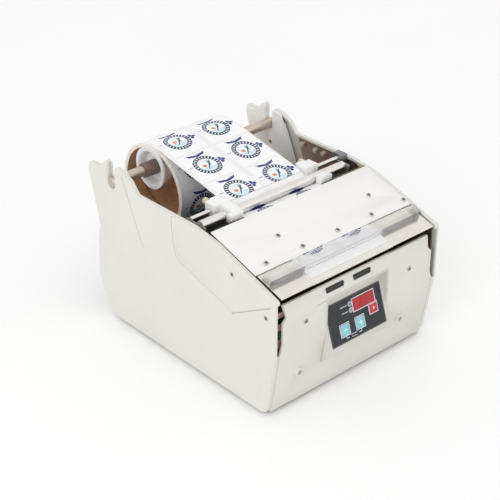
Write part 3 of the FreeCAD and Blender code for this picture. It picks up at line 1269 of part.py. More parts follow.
def panel_housing():
    """The wedge-shaped housing: recessed above, proud below, open at the back."""
    housing = panelled("panel_housing")
    bend = to_panel(front("0.2"), above("59.3"))
    brow = to_panel(front("0.2"), above("crease_height - 0.9"))
    sill = to_panel(front("toe_setback * (1 - 30.2 / knee_height) + 0.2"), above("30.2"))
    inside = to_panel(front("12.6"), above("30.3"))
    outline = [
        (minus("panel_chin"), "0"), bend, brow, (f"({brow[0]} + 3)", "0"), (f"({brow[0]} + 1)", "(-7)"),
        (f"({brow[0]} - 6)", "(-11)"), ("(-2)", "(-12)"), ("(-8)", inside[1]), inside, sill,
    ]
    housing.pad("YZ", outline, minus("panel_half"), "2 * panel_half")
    recess_half = "(panel_half - 1.4)"
    housing.cut("XY", box(minus(recess_half), recess_half, "(-12)", f"({brow[0]} - 1.6)"), "0", "20")
    hollow = [
        ("(1.9 - panel_chin)", minus("face_wall")), (f"({brow[0]} + 0.6)", minus("face_wall")),
        (f"({brow[0]} + 0.6)", "(-25)"), (f"({sill[0]} + 2.4)", "(-25)"),
        (f"({sill[0]} + 2.4)", f"({sill[1]})"),
    ]
    housing.cut("YZ", hollow, minus(recess_half), f"2 * {recess_half}")
    return housing


DISPLAY = (("(-1.6)", "24"), ("1.4", "12.1"))
LEDS = [("(-5)", "9.4"), ("(-4.9)", "3.8")]
KEYS = {
    "start_button": (("16.1", "25.1"), ("(-7.7)", "0.5")),
    "minus_button": (("(-20.8)", "(-10.8)"), ("(-15.5)", "(-5.3)")),
    "plus_button": (("(-2.2)", "7.8"), ("(-15.3)", "(-5.1)")),
}
housing = panel_housing()
cover_sheet = panelled("panel_overlay")
cover_sheet.pad("XY", box(minus("overlay_half"), "overlay_half", minus("overlay_low"), "overlay_high"),
                "0", "overlay_wall")
for piece in (housing, cover_sheet):
    for (x0, x1), (y0, y1) in KEYS.values():
        piece.cut("XY", box(f"({x0} - key_gap)", f"({x1} + key_gap)", f"({y0} - key_gap)",
                            f"({y1} + key_gap)"),
                  "(-face_wall - 1)", "face_wall + 3")
    (x0, x1), (y0, y1) = DISPLAY
    piece.cut("XY", box(f"({x0} - 0.1)", f"({x1} + 0.1)", f"({y0} - 0.1)", f"({y1} + 0.1)"),
              "(-face_wall - 1)", "face_wall + 3")
    piece.drill("XY", LEDS, "1.5", "(-face_wall - 1)", "face_wall + 3")

BOARD_OUT = "(-8)"
control = panelled("control_board")
control.pad("XY", box("(-34)", "34", "(-18)", "18"), f"({BOARD_OUT} - board_wall)", "board_wall")
control.disc("XY", [(x, y) for x in ("(-30)", "30") for y in ("(-15.6)", "15.6")], "1.6",
             f"({BOARD_OUT} - 0.2)",
             f"0.2 - {BOARD_OUT} - face_wall")

display_parts = []
window = Piece("Window", listed=False)
(x0, x1), (y0, y1) = DISPLAY
window.pad("XY", box(x0, x1, y0, y1), BOARD_OUT, f"overlay_wall + 0.1 - {BOARD_OUT}")
display_parts.append(window.body)
for x, y in LEDS:
    lamp = Piece("Lamp", listed=False)
    lamp.disc("XY", [(x, y)], "1.4", BOARD_OUT, f"overlay_wall + 0.1 - {BOARD_OUT}")
    display_parts.append(lamp.body)
group("display_module", display_parts, ("panel_shift", front("panel_run"), above("panel_height")),
      Vector(1, 0, 0), "90 - panel_tilt")

KEY_TRAVEL = "0.6"
for label, ((x0, x1), (y0, y1)) in KEYS.items():
    key = panelled(label)
    key.pad("XY", box(x0, x1, y0, y1), f"({BOARD_OUT} + {KEY_TRAVEL} + 0.3)",
            f"overlay_wall + 1 - ({BOARD_OUT} + {KEY_TRAVEL} + 0.3)")
    key.round("1.4", lambda edge: edge.Length > 6 and edge.BoundBox.XLength < 1e-6)

# ---------------------------------------------------------------------------------------------------
# Check every object, then write one file for each piece.

document.recompute()
faults = []
for thing in document.Objects:
    if {"Invalid", "Error"} & set(thing.State):
        owner = thing.getParentGeoFeatureGroup()
        faults.append(f"{owner.Label if owner else ''} {thing.Label}: {thing.getStatusString()}")
if faults:
    raise RuntimeError("; ".join(faults))
for label, piece in PIECES.items():
    if piece.Shape.isNull() or not piece.Shape.isValid() or not piece.Shape.Solids:
        raise RuntimeError(f"{label} has no valid solid")

os.makedirs("parts", exist_ok=True)
for label, piece in PIECES.items():
    piece.Shape.exportStep(f"parts/{label}.step")
whole = Part.makeCompound([piece.Shape for piece in PIECES.values()]).BoundBox
print(f"{len(PIECES)} pieces, {whole.XLength:.1f} x {whole.YLength:.1f} x {whole.ZLength:.1f} mm, "
      f"y {whole.YMin:.2f} to {whole.YMax:.2f}, z {whole.ZMin:.2f} to {whole.ZMax:.2f}")
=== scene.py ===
"""The finished looks of a desk label dispenser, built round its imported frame.

Lengths are millimetres in the machine's own coordinates: x to the right, `run` back from the side covers'
front edges, and `height` above the covers' undersides. `place` turns such a point to the frame's metres.
"""

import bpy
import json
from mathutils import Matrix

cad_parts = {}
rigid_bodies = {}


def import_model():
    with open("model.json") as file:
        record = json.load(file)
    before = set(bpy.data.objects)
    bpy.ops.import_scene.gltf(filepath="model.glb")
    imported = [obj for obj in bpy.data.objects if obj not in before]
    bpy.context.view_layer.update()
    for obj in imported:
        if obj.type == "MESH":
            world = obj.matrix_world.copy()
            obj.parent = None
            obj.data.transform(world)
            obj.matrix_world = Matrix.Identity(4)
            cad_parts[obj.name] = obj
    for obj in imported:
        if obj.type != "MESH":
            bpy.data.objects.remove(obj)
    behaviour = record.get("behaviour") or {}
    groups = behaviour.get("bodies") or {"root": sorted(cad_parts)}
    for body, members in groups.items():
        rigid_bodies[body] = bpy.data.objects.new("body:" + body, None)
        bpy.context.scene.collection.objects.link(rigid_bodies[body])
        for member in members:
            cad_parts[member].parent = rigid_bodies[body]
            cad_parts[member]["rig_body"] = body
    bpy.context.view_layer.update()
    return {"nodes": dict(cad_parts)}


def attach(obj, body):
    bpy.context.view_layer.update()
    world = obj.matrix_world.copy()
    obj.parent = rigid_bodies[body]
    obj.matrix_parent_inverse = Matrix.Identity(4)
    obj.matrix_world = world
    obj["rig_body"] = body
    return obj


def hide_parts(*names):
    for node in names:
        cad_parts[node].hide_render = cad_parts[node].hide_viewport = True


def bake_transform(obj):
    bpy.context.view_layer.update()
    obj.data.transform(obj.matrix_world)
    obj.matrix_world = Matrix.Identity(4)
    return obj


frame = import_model()

import ast
import json
import logging
import math
from contextlib import contextmanager
from dataclasses import dataclass
from enum import Enum
from functools import cache
from itertools import accumulate, pairwise
from typing import Any, Callable, Iterator, Optional, Sequence

import bmesh
import bpy
from mathutils import Matrix, Vector

LOG = logging.getLogger("label_dispenser")
Thing = bpy.types.Object
Line = Sequence[tuple[float, float]]

MM = 0.001
FRONT_REACH = 125.9
FOOT_HEIGHT = 3.0
HALF_WIDTH = 100.0
SLOPE = math.radians(17.2)
PEEL_EDGE = (0.9, 116.2)
PANEL_TILT = math.radians(18.3)
PANEL_ORIGIN = (-2.5, 2.3, 66.2)
REEL_AXIS = (215.8, 122.4)
WEB_MIDDLE = -6.5
WEB_HALF = 46.0

# Limits used on meshes: where vertices merge (millimetres), what counts as flat, what is shaded smooth, by
# which share of its cutter a cut may be off, and how squarely a face has to look one way to be picked.
MERGE_WITHIN = 0.002
FLAT_WITHIN = math.radians(1.0)
SMOOTH_BELOW = math.radians(35)
CUT_SLACK = 0.01
FACING = 0.9


class Grain(Enum):
    """Which way a surface's fine lines run, as how far they are drawn out along x, y and z."""

    EVEN = (1.0, 1.0, 1.0)
    ACROSS = (20.0, 1.0, 1.0)
    TRAVEL = (1.0, 20.0, 20.0)
    UPRIGHT = (1.0, 1.0, 8.0)


# ---------------------------------------------------------------------------------------------------
# Places


def place(x: float, run: float, height: float) -> Vector:
    """A point of the machine, given in its own millimetres, in the frame's metres."""
    return Vector((x, run - FRONT_REACH, height + FOOT_HEIGHT)) * MM


def over_slide(along: float, up: float = 0.0) -> tuple[float, float]:
    """Run and height of a point over the slide plate.

    Args:
        along: millimetres up the slope from the peel edge.
        up: millimetres off the plate.

    Returns:
        The run and the height.
    """
    run, height = PEEL_EDGE
    return (run + along * math.cos(SLOPE) - up * math.sin(SLOPE),
            height + along * math.sin(SLOPE) + up * math.cos(SLOPE))


# ---------------------------------------------------------------------------------------------------
# Patterns and finishes


def linear(colour: str) -> tuple[float, float, float, float]:
    """The linear red, green, blue and alpha of an sRGB colour, given as six hexadecimal digits."""
    parts = [int(colour[i:i + 2], 16) / 255 for i in (0, 2, 4)]
    return (*(c / 12.92 if c <= 0.04045 else ((c + 0.055) / 1.055) ** 2.4 for c in parts), 1.0)


SYMBOLS = {
    ast.Add: "ADD", ast.Sub: "SUBTRACT", ast.Mult: "MULTIPLY", ast.Div: "DIVIDE", ast.Lt: "LESS_THAN",
    ast.Gt: "GREATER_THAN",
}
WORDS = {
    "abs": "ABSOLUTE", "min": "MINIMUM", "max": "MAXIMUM", "sin": "SINE", "fract": "FRACT", "sqrt": "SQRT",
    "atan2": "ARCTAN2",
}


class Pattern:
    """A node tree, and the fields that its formulas can name."""

    def __init__(self, tree: bpy.types.NodeTree) -> None:
        """Start with an empty tree and no fields.

        Args:
            tree: the node tree, which is emptied.
        """
        tree.nodes.clear()
        self.tree = tree
        self.fields: dict[str, Any] = {}

    def node(self, kind: str, values: Optional[dict] = None) -> bpy.types.Node:
        """Add a node.

        Args:
            kind: the node's type without its leading ShaderNode.
            values: attributes by lower-case name, and inputs by name or number, each a value or a socket.

        Returns:
            The new node.
        """
        node = self.tree.nodes.new("ShaderNode" + kind)
        for key, value in (values or {}).items():
            if isinstance(value, bpy.types.NodeSocket):
                self.tree.links.new(value, node.inputs[key])
            elif isinstance(key, str) and key.islower():
                setattr(node, key, value)
            else:
                node.inputs[key].default_value = value
        return node

    def let(self, **values: Any) -> None:
        """Name fields, in the order given: a text is drawn as a formula, and all else is kept as it is."""
        for name, value in values.items():
            self.fields[name] = self.formula(value) if isinstance(value, str) else value

    def formula(self, text: str) -> Any:
        """Draw a pattern that is written as a formula.

        Args:
            text: sums, products, comparisons (1 where true) and the functions of WORDS, over the fields.

        Returns:
            The socket, or the number if nothing in the formula varies.
        """

        def walk(part: Any) -> Any:
            """Draw one part of the formula.

            Args:
                part: the part, as parsed.

            Returns:
                The socket or the number.
            """
            if isinstance(part, ast.Constant):
                return float(part.value)
            if isinstance(part, ast.Name):
                return self.fields[part.id]
            if isinstance(part, ast.UnaryOp):
                return join("MULTIPLY", [walk(part.operand), -1.0])
            if isinstance(part, ast.BinOp):
                return join(SYMBOLS[type(part.op)], [walk(part.left), walk(part.right)])
            if isinstance(part, ast.Compare):
                return join(SYMBOLS[type(part.ops[0])], [walk(part.left), walk(part.comparators[0])])
            return join(WORDS[part.func.id], [walk(item) for item in part.args])

        def join(operation: str, values: list) -> Any:
            """One step of the sum, worked out at once where it has only numbers.

            Args:
                operation: the math node's operation.
                values: its inputs, each a socket or a number.

            Returns:
                The socket or the number.
            """
            known = {"ADD": sum, "MULTIPLY": math.prod, "SUBTRACT": lambda pair: pair[0] - pair[1],
                     "DIVIDE": lambda pair: pair[0] / pair[1]}
            if operation in known and all(isinstance(value, (int, float)) for value in values):
                return float(known[operation](values))
            return self.node("Math", {"operation": operation, **dict(enumerate(values))}).outputs[0]

        return walk(ast.parse(text).body[0].value)

    def mix(self, mask: Any, under: Any, over: Any) -> Any:
        """Lay one colour over another where a mask is 1.

        Args:
            mask: a formula or a socket.
            under: a colour socket or an sRGB hex colour.
            over: a colour socket or an sRGB hex colour.

        Returns:
            The colour socket.
        """
        factor = self.formula(mask) if isinstance(mask, str) else mask
        pair = [linear(colour) if isinstance(colour, str) else colour for colour in (under, over)]
        return self.node("Mix", {"data_type": "RGBA", 0: factor, 6: pair[0], 7: pair[1]}).outputs[2]

    def printed(self, colour: Any, marks: Sequence[tuple[str, str]]) -> Any:
        """Print marks over a colour.

        Args:
            colour: the colour socket.
            marks: each mark's sRGB ink and the formula of its shape.

        Returns:
            The colour socket with the print.
        """
        for ink, shape in marks:
            colour = self.mix(f"max(0, min(1, {shape}))", colour, ink)
        return colour


class Surface(Pattern):
    """A material's pattern, whose first fields are x, y and z in the frame's millimetres."""

    def __init__(self, name: str) -> None:
        """Make the material and find its surface point.

        Args:
            name: the material's name.
        """
        self.material = bpy.data.materials.new(name)
        self.material.use_nodes = True
        super().__init__(self.material.node_tree)
        self.point = self.node("TexCoord").outputs["Object"]
        metres = self.node("SeparateXYZ", {0: self.point}).outputs
        self.let(mx=metres[0], my=metres[1], mz=metres[2], x="mx * 1000", y="my * 1000", z="mz * 1000")

    def noise(self, size: float, detail: float) -> Any:
        """A soft random field from 0 to 1, with patches `size` millimetres across."""
        values = {"Scale": 1 / (size * MM), "Detail": detail, "Vector": self.point}
        return self.node("TexNoise", values).outputs[0]

    def shaded(self, values: dict) -> bpy.types.Material:
        """The material, ended with a shader that has these inputs."""
        self.node("OutputMaterial", {"Surface": self.node("BsdfPrincipled", values).outputs[0]})
        return self.material

    def over_panel(self) -> None:
        """Add u and v: millimetres right and up over the control panel's face, from its reference point."""
        centre = place(*PANEL_ORIGIN) / MM
        self.let(cx=centre.x, cy=centre.y, cz=centre.z, s=math.sin(PANEL_TILT), c=math.cos(PANEL_TILT),
                 u="x - cx", v="(y - cy) * s + (z - cz) * c")


@dataclass(frozen=True)
class Finish:
    """A material: its colour with a slow drift, its gloss, and the grain of its surface.

    Sizes are millimetres. `lines` draws the grain out one way, as brushing or turning does, and `inputs`
    are further inputs of the shader.
    """

    name: str
    colour: str
    drift: str
    gloss: float
    patch: float = 20.0
    share: float = 0.5
    gloss_drift: float = 0.05
    metal: float = 0.0
    grain: float = 0.5
    relief: float = 0.006
    lines: Grain = Grain.EVEN
    inputs: tuple[tuple[str, Any], ...] = ()

    def colours(self, surface: Surface) -> Any:
        """The colour socket of a surface."""
        surface.let(cloud=surface.noise(self.patch, 3.0), share=self.share)
        return surface.mix("max(0, min(1, (cloud - 0.35) * 3.3)) * share", self.colour, self.drift)

    def heights(self, surface: Surface) -> Any:
        """The relief of a surface.

        Args:
            surface: the material's pattern.

        Returns:
            The height socket, from 0 to 1.
        """
        scale = tuple(1 / (self.grain * MM * stretch) for stretch in self.lines.value)
        spread = surface.node("Mapping", {"Scale": scale, "Vector": surface.point}).outputs[0]
        values = {"Scale": 1.0, "Detail": 4.0, "Roughness": 0.6, "Vector": spread}
        return surface.node("TexNoise", values).outputs[0]

    @cache
    def material(self) -> bpy.types.Material:
        """The finished material, made on its first use.

        Returns:
            The material.
        """
        surface = Surface(self.name)
        surface.let(height=self.heights(surface), gloss=self.gloss, change=self.gloss_drift)
        bump = surface.node("Bump", {"Distance": self.relief * MM, "Strength": 1.0,
                                     "Height": surface.fields["height"]})
        rough = surface.formula("gloss + (height - 0.5) * change * 2")
        return surface.shaded({"Metallic": self.metal, "Base Color": self.colours(surface),
                               "Roughness": rough, "Normal": bump.outputs[0], **dict(self.inputs)})


@dataclass(frozen=True)
class Striped(Finish):
    """A metal whose colour also runs in fine streaks, as on ground or brushed metal."""

    share: float = 0.3
    metal: float = 1.0
    lines: Grain = Grain.ACROSS
    streak: float = 0.3

    def colours(self, surface: Surface) -> Any:
        """The drifting colour with the streaks over it.

        Args:
            surface: the material's pattern.

        Returns:
            The colour socket.
        """
        base = super().colours(surface)
        surface.let(lines=self.heights(surface), streak=self.streak)
        return surface.mix("max(0, min(1, (lines - 0.4) * 4)) * streak", base, self.drift)


@dataclass(frozen=True)
class PrintedPaper(Finish):
    """Coated label stock printed with round badges in two columns, by the piece's own map in metres.

    `pitch` is the step along the web, `columns` the badges' places across it. In front of `last_row` the
    labels are peeled off.
    """

    pitch: float = 42.9
    columns: tuple[float, float] = (-28.5, 17.5)
    width: float = 40.0
    length: float = 40.2
    last_row: int = 3
    liner: str = "f3f2f3"
    navy: str = "24407a"
    ink: str = "1b2338"
    green: str = "6fae8c"
    orange: str = "dd8c58"
    sky: str = "d3eaee"

    def colours(self, surface: Surface) -> Any:
        """White labels with their print on a slightly darker backing.

        Args:
            surface: the material's pattern.

        Returns:
            The colour socket.
        """
        paper = super().colours(surface)
        flat = surface.node("SeparateXYZ", {0: surface.node("UVMap", {"uv_map": "Print"}).outputs[0]})
        surface.let(
            mapped_across=flat.outputs[0], mapped_along=flat.outputs[1], left=self.columns[0],
            right=self.columns[1], pitch=self.pitch, wide=self.width / 2, long=self.length / 2,
            last=self.last_row * self.pitch + self.length / 2, across="(mapped_across - 0.5) * 1000",
            along="mapped_along * 1000", middle="left + (right - left) * (across > (left + right) * 0.5)",
            u="across - middle", v="(fract(along / pitch + 0.5) - 0.5) * pitch",
            radius="sqrt(u * u + v * v)", turn="atan2(v, u)")
        label = surface.mix("(abs(u) < wide) * (abs(v) < long)", self.liner, paper)
        badge = surface.printed(label, (
            # a sky over the badge's front part, and a small sun just left of its middle
            (self.sky, "(radius < 9.4) * (v > 3.2)"),
            (self.orange, "((u + 3.4) * (u + 3.4) + (v - 0.4) * (v - 0.4)) < 4.6"),
            # two crossing blades
            (self.green, "((u - 2.9) * (u - 2.9) / 1.6 + (v + 2.2) * (v + 2.2) / 15) < 1"),
            (self.navy, "(((u + v * 0.7 - 2) * (u + v * 0.7 - 2)) / 0.8 + v * v / 40) < 1"),
            # ripples behind them
            (self.sky, "(radius < 9) * (v < -4.4) * (fract(v * 0.3 + sin(u * 0.9) * 0.12) < 0.4)"),
            # a rope ring of 24 short bars between two thin lines
            (self.navy, "(abs(radius - 13.1) < 0.4) + (abs(radius - 9.7) < 0.4)"),
            (self.ink, "(abs(radius - 11.4) < 1.3) * (fract(turn * 3.8197) < 0.66)"),
            # a ribbon with forked ends across the badge's rear edge
            (self.navy, "(abs(v + 15.2 + abs(u) * 0.22) < 1.5) * (abs(u) < (8.6 + abs(v + 16.5) * 0.8))"),
            # a trefoil of three discs on its right, with a stalk to the ring
            (self.navy, "((u - 18.4) * (u - 18.4) + v * v) < 3.4"),
            (self.navy, "((u - 15.8) * (u - 15.8) + (abs(v) - 2.5) * (abs(v) - 2.5)) < 3.0"),
            (self.navy, "(abs(u - 15) < 2) * (abs(v) < 0.6)"),
            # a short signature line on its left
            (self.ink, "(abs(v + 3 + sin(u * 2.6) * 0.5) < 0.35) * (abs(u + 17.4) < 2.2)"),
        ))
        return surface.mix("along > last", badge, self.liner)


@dataclass(frozen=True)
class Area:
    """A rectangle on the control panel's face: its middle and its half sizes, in millimetres."""

    u: float
    v: float
    wide: float
    high: float

    def filled(self, more: float = 0.0) -> str:
        """The area as a formula, larger all round by `more`."""
        return f"(abs(u - {self.u}) < {self.wide + more}) * (abs(v - {self.v}) < {self.high + more})"

    def outline(self, thick: float) -> str:
        """A line of this thickness round the area, as a formula."""
        return f"({self.filled(thick)} - {self.filled()})"


OVERLAY = Area(0.0, -2.5, 32.3, 18.1)
WINDOW = Area(11.2, 6.75, 13.0, 5.6)
DIGITS = Area(11.2, 6.75, 10.8, 4.4)
START_KEY = Area(20.6, -3.6, 4.9, 4.5)
MINUS_KEY = Area(-15.8, -10.4, 5.4, 5.5)
PLUS_KEY = Area(2.8, -10.2, 5.4, 5.5)


@dataclass(frozen=True)
class Membrane(Finish):
    """The panel's printed film: charcoal with a pale frame, outlined keys and small marks."""

    border: str = "6c7076"
    white: str = "f0f0f0"
    ring: str = "cfd1d3"
    line: str = "d3d5d8"

    def colours(self, surface: Surface) -> Any:
        """The film's colour with its print.

        Args:
            surface: the material's pattern.

        Returns:
            The colour socket.
        """
        base = super().colours(surface)
        surface.over_panel()
        return surface.printed(base, (
            (self.border, OVERLAY.outline(0.4)),
            (self.white, WINDOW.outline(0.7)),
            (self.white, START_KEY.outline(0.6)),
            (self.white, MINUS_KEY.outline(0.5)),
            (self.white, PLUS_KEY.outline(0.5)),
            # rings round the two lamps
            (self.ring, "abs(sqrt((u + 5) * (u + 5) + (v - 9.4) * (v - 9.4)) - 2.0) < 0.32"),
            (self.ring, "abs(sqrt((u + 4.9) * (u + 4.9) + (v - 3.8) * (v - 3.8)) - 2.0) < 0.32"),
            # short bars where a legend would stand, left of each lamp
            (self.line, "(abs(v - 9.4) < 0.5) * (abs(u + 12.6) < 4.2) * (fract(u * 0.9) < 0.7)"),
            (self.line, "(abs(v - 3.8) < 0.5) * (abs(u + 12.1) < 3.7) * (fract(u * 0.9) < 0.7)"),
            # a small bracket below each key, and two short legend lines between them
            (self.line, "(abs(v + 17.2) < 1.2) * (abs(abs(u + 6.4) - 9.0) < 0.35)"),
            (self.line, "(abs(v + 18.3) < 0.35) * (abs(abs(u + 6.4) - 7.6) < 1.7)"),
            (self.line, "(abs(v + 17.0) < 0.4) * (abs(u + 6.4) < 3.4) * (fract(u * 0.8) < 0.7)"),
            (self.line, "(abs(v + 19.2) < 0.4) * (abs(u + 6.4) < 3.0) * (fract(u * 0.8 + 0.3) < 0.7)"),
        ))


@dataclass(frozen=True)
class Digits(Finish):
    """A red filter window with three unlit seven-segment digits showing faintly behind it."""

    step: float = 7.2
    faint: float = 0.07
    lit: str = "ff8a78"
    lens: str = "dfe1e2"
    chip: str = "6e7277"

    def colours(self, surface: Surface) -> Any:
        """The window's colour with the digits' segments, and the lenses of the two lamps beside it.

        Args:
            surface: the material's pattern.

        Returns:
            The colour socket.
        """
        base = super().colours(surface)
        surface.over_panel()
        # a and b run across and up from the middle of the nearest digit, which is 5 mm wide and 7 mm high
        surface.let(step=self.step, faint=self.faint, a="(fract((u - 0.4) / step) - 0.5) * step",
                    b="v - 6.75",
                    level="(abs(a) < 1.7) * ((abs(b) < 0.42) + (abs(abs(b) - 3.2) < 0.42))",
                    upright="(abs(abs(a) - 2.1) < 0.42) * (abs(abs(b) - 1.6) < 1.3)",
                    lamp="sqrt((u + 5) * (u + 5) + (abs(v - 6.6) - 2.8) * (abs(v - 6.6) - 2.8))")
        glass = surface.mix(f"{DIGITS.filled()} * min(1, level + upright) * faint", base, self.lit)
        # the lamps are pale diffusers with a grey chip
        return surface.mix("lamp < 1.05", surface.mix("lamp < 2.6", glass, self.lens), self.chip)


@dataclass(frozen=True)
class KeyCap(Finish):
    """A lacquered key with a white printed rim, and a plain sign over a and b from the key's middle."""

    gloss: float = 0.3
    patch: float = 4
    share: float = 0.4
    grain: float = 0.4
    key: Area = PLUS_KEY
    rim: float = 0.55
    white: str = "f1f4f4"
    print_white: str = "f4fbfb"
    sign: str = "(abs(b) < 0.5) * (abs(a) < 2.1) + (abs(a) < 0.5) * (abs(b) < 2.1)"

    def colours(self, surface: Surface) -> Any:
        """The lacquer's colour with the rim and the sign.

        Args:
            surface: the material's pattern.

        Returns:
            The colour socket.
        """
        base = super().colours(surface)
        surface.over_panel()
        surface.let(ku=self.key.u, kv=self.key.v, wide=self.key.wide, high=self.key.high, rim=self.rim,
                    a="u - ku", b="v - kv")
        marked = surface.mix(f"min(1, {self.sign})", base, self.print_white)
        return surface.mix("max(abs(a) - wide, abs(b) - high) > (-rim)", marked, self.white)


@dataclass(frozen=True)
class Cardboard(Finish):
    """Wound paperboard: a spiral seam, fibres along the winding and pale cut ends."""

    seam: float = 38.0
    fibre: float = 1.2
    dark: str = "3a2114"
    cut: str = "f0e6d8"

    def colours(self, surface: Surface) -> Any:
        """The board's colour with its spiral seam, its fibres and its cut ends.

        Args:
            surface: the material's pattern.

        Returns:
            The colour socket.
        """
        base = super().colours(surface)
        centre = place(0, *REEL_AXIS) / MM
        surface.let(cy=centre.y, cz=centre.z, seam=self.seam, circle=math.tau, middle=WEB_MIDDLE,
                    half=WEB_HALF, fibre=surface.noise(self.fibre, 4.0),
                    lead="fract(x / seam + atan2(z - cz, y - cy) / circle)")
        wound = surface.mix("min(1, (lead < 0.03) * 0.6 + max(0, fibre - 0.5) * 1.4)", base, self.dark)
        return surface.mix("abs(abs(x - middle) - half) < 0.4", wound, self.cut)


@dataclass(frozen=True)
class Acrylic(Finish):
    """Clear cast acrylic: clean faces, and painted refraction, a dark band, along its front edge, `edge` up
    the slide.
    """

    edge: float = 15.3
    painted_refraction: str = "1f1a28"

    def colours(self, surface: Surface) -> Any:
        """Clear, with painted refraction on the front edge: dark, and paler where white paper lies below it.

        Args:
            surface: the material's pattern.

        Returns:
            The colour socket.
        """
        base = super().colours(surface)
        edge = place(0, *over_slide(self.edge)) / MM
        surface.let(ey=edge.y, ez=edge.z, c=math.cos(SLOPE), s=math.sin(SLOPE), middle=WEB_MIDDLE,
                    half=WEB_HALF, along="(y - ey) * c + (z - ez) * s")
        # painted refraction: the front edge is coloured dark, less over the web, for the steel and paper
        # seen through it
        return surface.mix("(along < 0.9) * (0.3 + 0.7 * (abs(x - middle) > half))", base, self.painted_refraction)


# Painted and powder-coated parts: satin off-whites whose fine grain breaks up reflections.
COVER = Finish("painted_abs_off_white", "e3e2db", "dad8cf", 0.42, patch=60, share=0.3, grain=1.1,
               relief=0.012, gloss_drift=0.04)
PANEL = Finish("painted_abs_panel", "d9d6d0", "cecbc4", 0.45, patch=40, share=0.3, grain=0.9, relief=0.012)
POWDER = Finish("powder_coat_white", "f7f6f3", "ece9e5", 0.5, patch=45, share=0.3, grain=0.7, relief=0.015)
TOP_COAT = Finish("powder_coat_top_plate", "f7f6f4", "eeedea", 0.48, patch=50, share=0.25, grain=0.7,
                  relief=0.012)
PRIMER = Finish("pink_primer", "fbd9d1", "e2b5ab", 0.55, patch=8, share=0.7, relief=0.01, gloss_drift=0.1)

# Sheet metal. The black zinc drifts from olive to brown, and the galvanised sheet has soft spangle patches.
BLACK_ZINC = Finish("black_zinc_sheet", "9b8f83", "b59186", 0.36, patch=22, share=0.8, metal=0.85, grain=0.6,
                    gloss_drift=0.1)
GALVANISED = Finish("galvanised_sheet", "8e8f90", "77787b", 0.38, patch=9, share=0.7, metal=0.9, grain=0.9,
                    relief=0.008, gloss_drift=0.1)
SLIDE_STEEL = Striped("brushed_stainless_slide", "eae6df", "cbc6c0", 0.24, patch=30, grain=0.35,
                      lines=Grain.TRAVEL, gloss_drift=0.08)
BED_STEEL = Striped("black_zinc_bed", "4b4a40", "37372f", 0.34, patch=25, share=0.4, metal=0.8, grain=0.4,
                    gloss_drift=0.1)
BRASS = Striped("rolled_brass_strip", "948b63", "6f6945", 0.3, patch=6, share=0.6, metal=0.9, grain=0.4,
                relief=0.005)
CASE = Finish("mill_finish_case", "a9abad", "929598", 0.36, patch=15, metal=1.0, lines=Grain.ACROSS)
CAN = Striped("drawn_motor_can", "8c8d91", "6e7075", 0.3, patch=12, share=0.4, grain=0.4, relief=0.005)

# Rods, arms and turned parts: ground, plated or drawn, with the rings and lines of their making.
ROD = Striped("ground_chrome_rod", "e6e3df", "cbc7c3", 0.3, grain=0.35, relief=0.003, lines=Grain.TRAVEL,
              streak=0.2)
SHAFT = Striped("lacquered_drawn_shaft", "cfc2b6", "b4a496", 0.34, patch=25, metal=0.85, grain=0.35,
                relief=0.004)
TURNED = Striped("turned_aluminium", "c3c3c4", "9fa0a2", 0.26, patch=8, grain=0.25, relief=0.004,
                 lines=Grain.TRAVEL)
ZINC = Finish("zinc_plate_blue", "b3b6bb", "9aa1ab", 0.3, patch=6, metal=1.0, gloss_drift=0.1)
BRONZE = Finish("sintered_bronze", "a57c3f", "7d5b2c", 0.36, patch=2, share=0.7, metal=1.0, grain=0.2,
                relief=0.01)
NICKEL = Finish("bright_zinc_screw", "dcd9d2", "bfbbb3", 0.36, patch=2, metal=0.5, grain=0.2, relief=0.004,
                gloss_drift=0.1)
# Painted shade in the screws' recesses: a darker colour on the recess faces, which makes them read as dark
# crosses.
RECESS = Finish("screw_recess_painted_shade", "8b867d", "6a665e", 0.7, patch=1, share=0.6, metal=0.3, grain=0.2,
                relief=0.01)

# Plastics and rubbers. Light glows through the milky flanges, and part of it goes straight through the clear
# bar, so paper below it stays bright.
SLEEVE = Finish("phenolic_sleeve", "8d7467", "5f4a3f", 0.36, patch=5, share=0.7, relief=0.01,
                lines=Grain.ACROSS)
FLANGE = Finish("milky_polypropylene", "eff0f0", "e0e2e3", 0.3, patch=14, share=0.4, grain=0.8, relief=0.008,
                inputs=(("Subsurface Weight", 0.35), ("Subsurface Radius", (0.004, 0.004, 0.004))))
ACETAL = Finish("acetal_white", "f6f6f5", "eaeae9", 0.34, patch=12, share=0.4, grain=0.4, relief=0.008,
                lines=Grain.UPRIGHT)
NYLON = Finish("nylon_cream", "d6ceb2", "b9ad88", 0.38, patch=3, grain=0.4, relief=0.01)
BAR = Acrylic("cast_acrylic_bar", "ffffff", "fafafc", 0.04, share=0.2, grain=6.0, relief=0.0006,
              gloss_drift=0.01, inputs=(("Transmission Weight", 0.98), ("IOR", 1.49), ("Alpha", 0.6)))
RUBBER = Finish("ground_nitrile", "1c1c1e", "2b2a2b", 0.7, patch=8, share=0.6, grain=0.3, relief=0.02)
SILICONE = Finish("silicone_brown", "6a3426", "55281c", 0.5, patch=12, grain=0.4, relief=0.01)
BLACK_NYLON = Finish("glass_filled_black", "1b1b1d", "29292b", 0.5, patch=12, relief=0.015)
BLACK_ABS = Finish("spark_textured_black", "161618", "222225", 0.42, patch=8, grain=0.45, relief=0.02)

# Paper and board. The roll's cut edge shows its many layers as faint rings.
CORE = Cardboard("wound_paperboard", "d6aa83", "b48a64", 0.85, patch=10, share=0.6, grain=0.6, relief=0.03)
LABELS = PrintedPaper("printed_label_paper", "fcfcfd", "f5f5f7", 0.42, patch=40, share=0.4, grain=0.4,
                      relief=0.004)
LINER_WHITE = Finish("white_release_liner", "f5f4f2", "eeece8", 0.36, relief=0.005)
PAPER_EDGE = Finish("stacked_paper_edge", "f8f6f2", "ebe6dd", 0.75, patch=1.2, share=0.6, grain=0.4,
                    relief=0.03, lines=Grain.TRAVEL)
LINER = Finish("glassine_liner", "ebe9e2", "dfdbd0", 0.38)

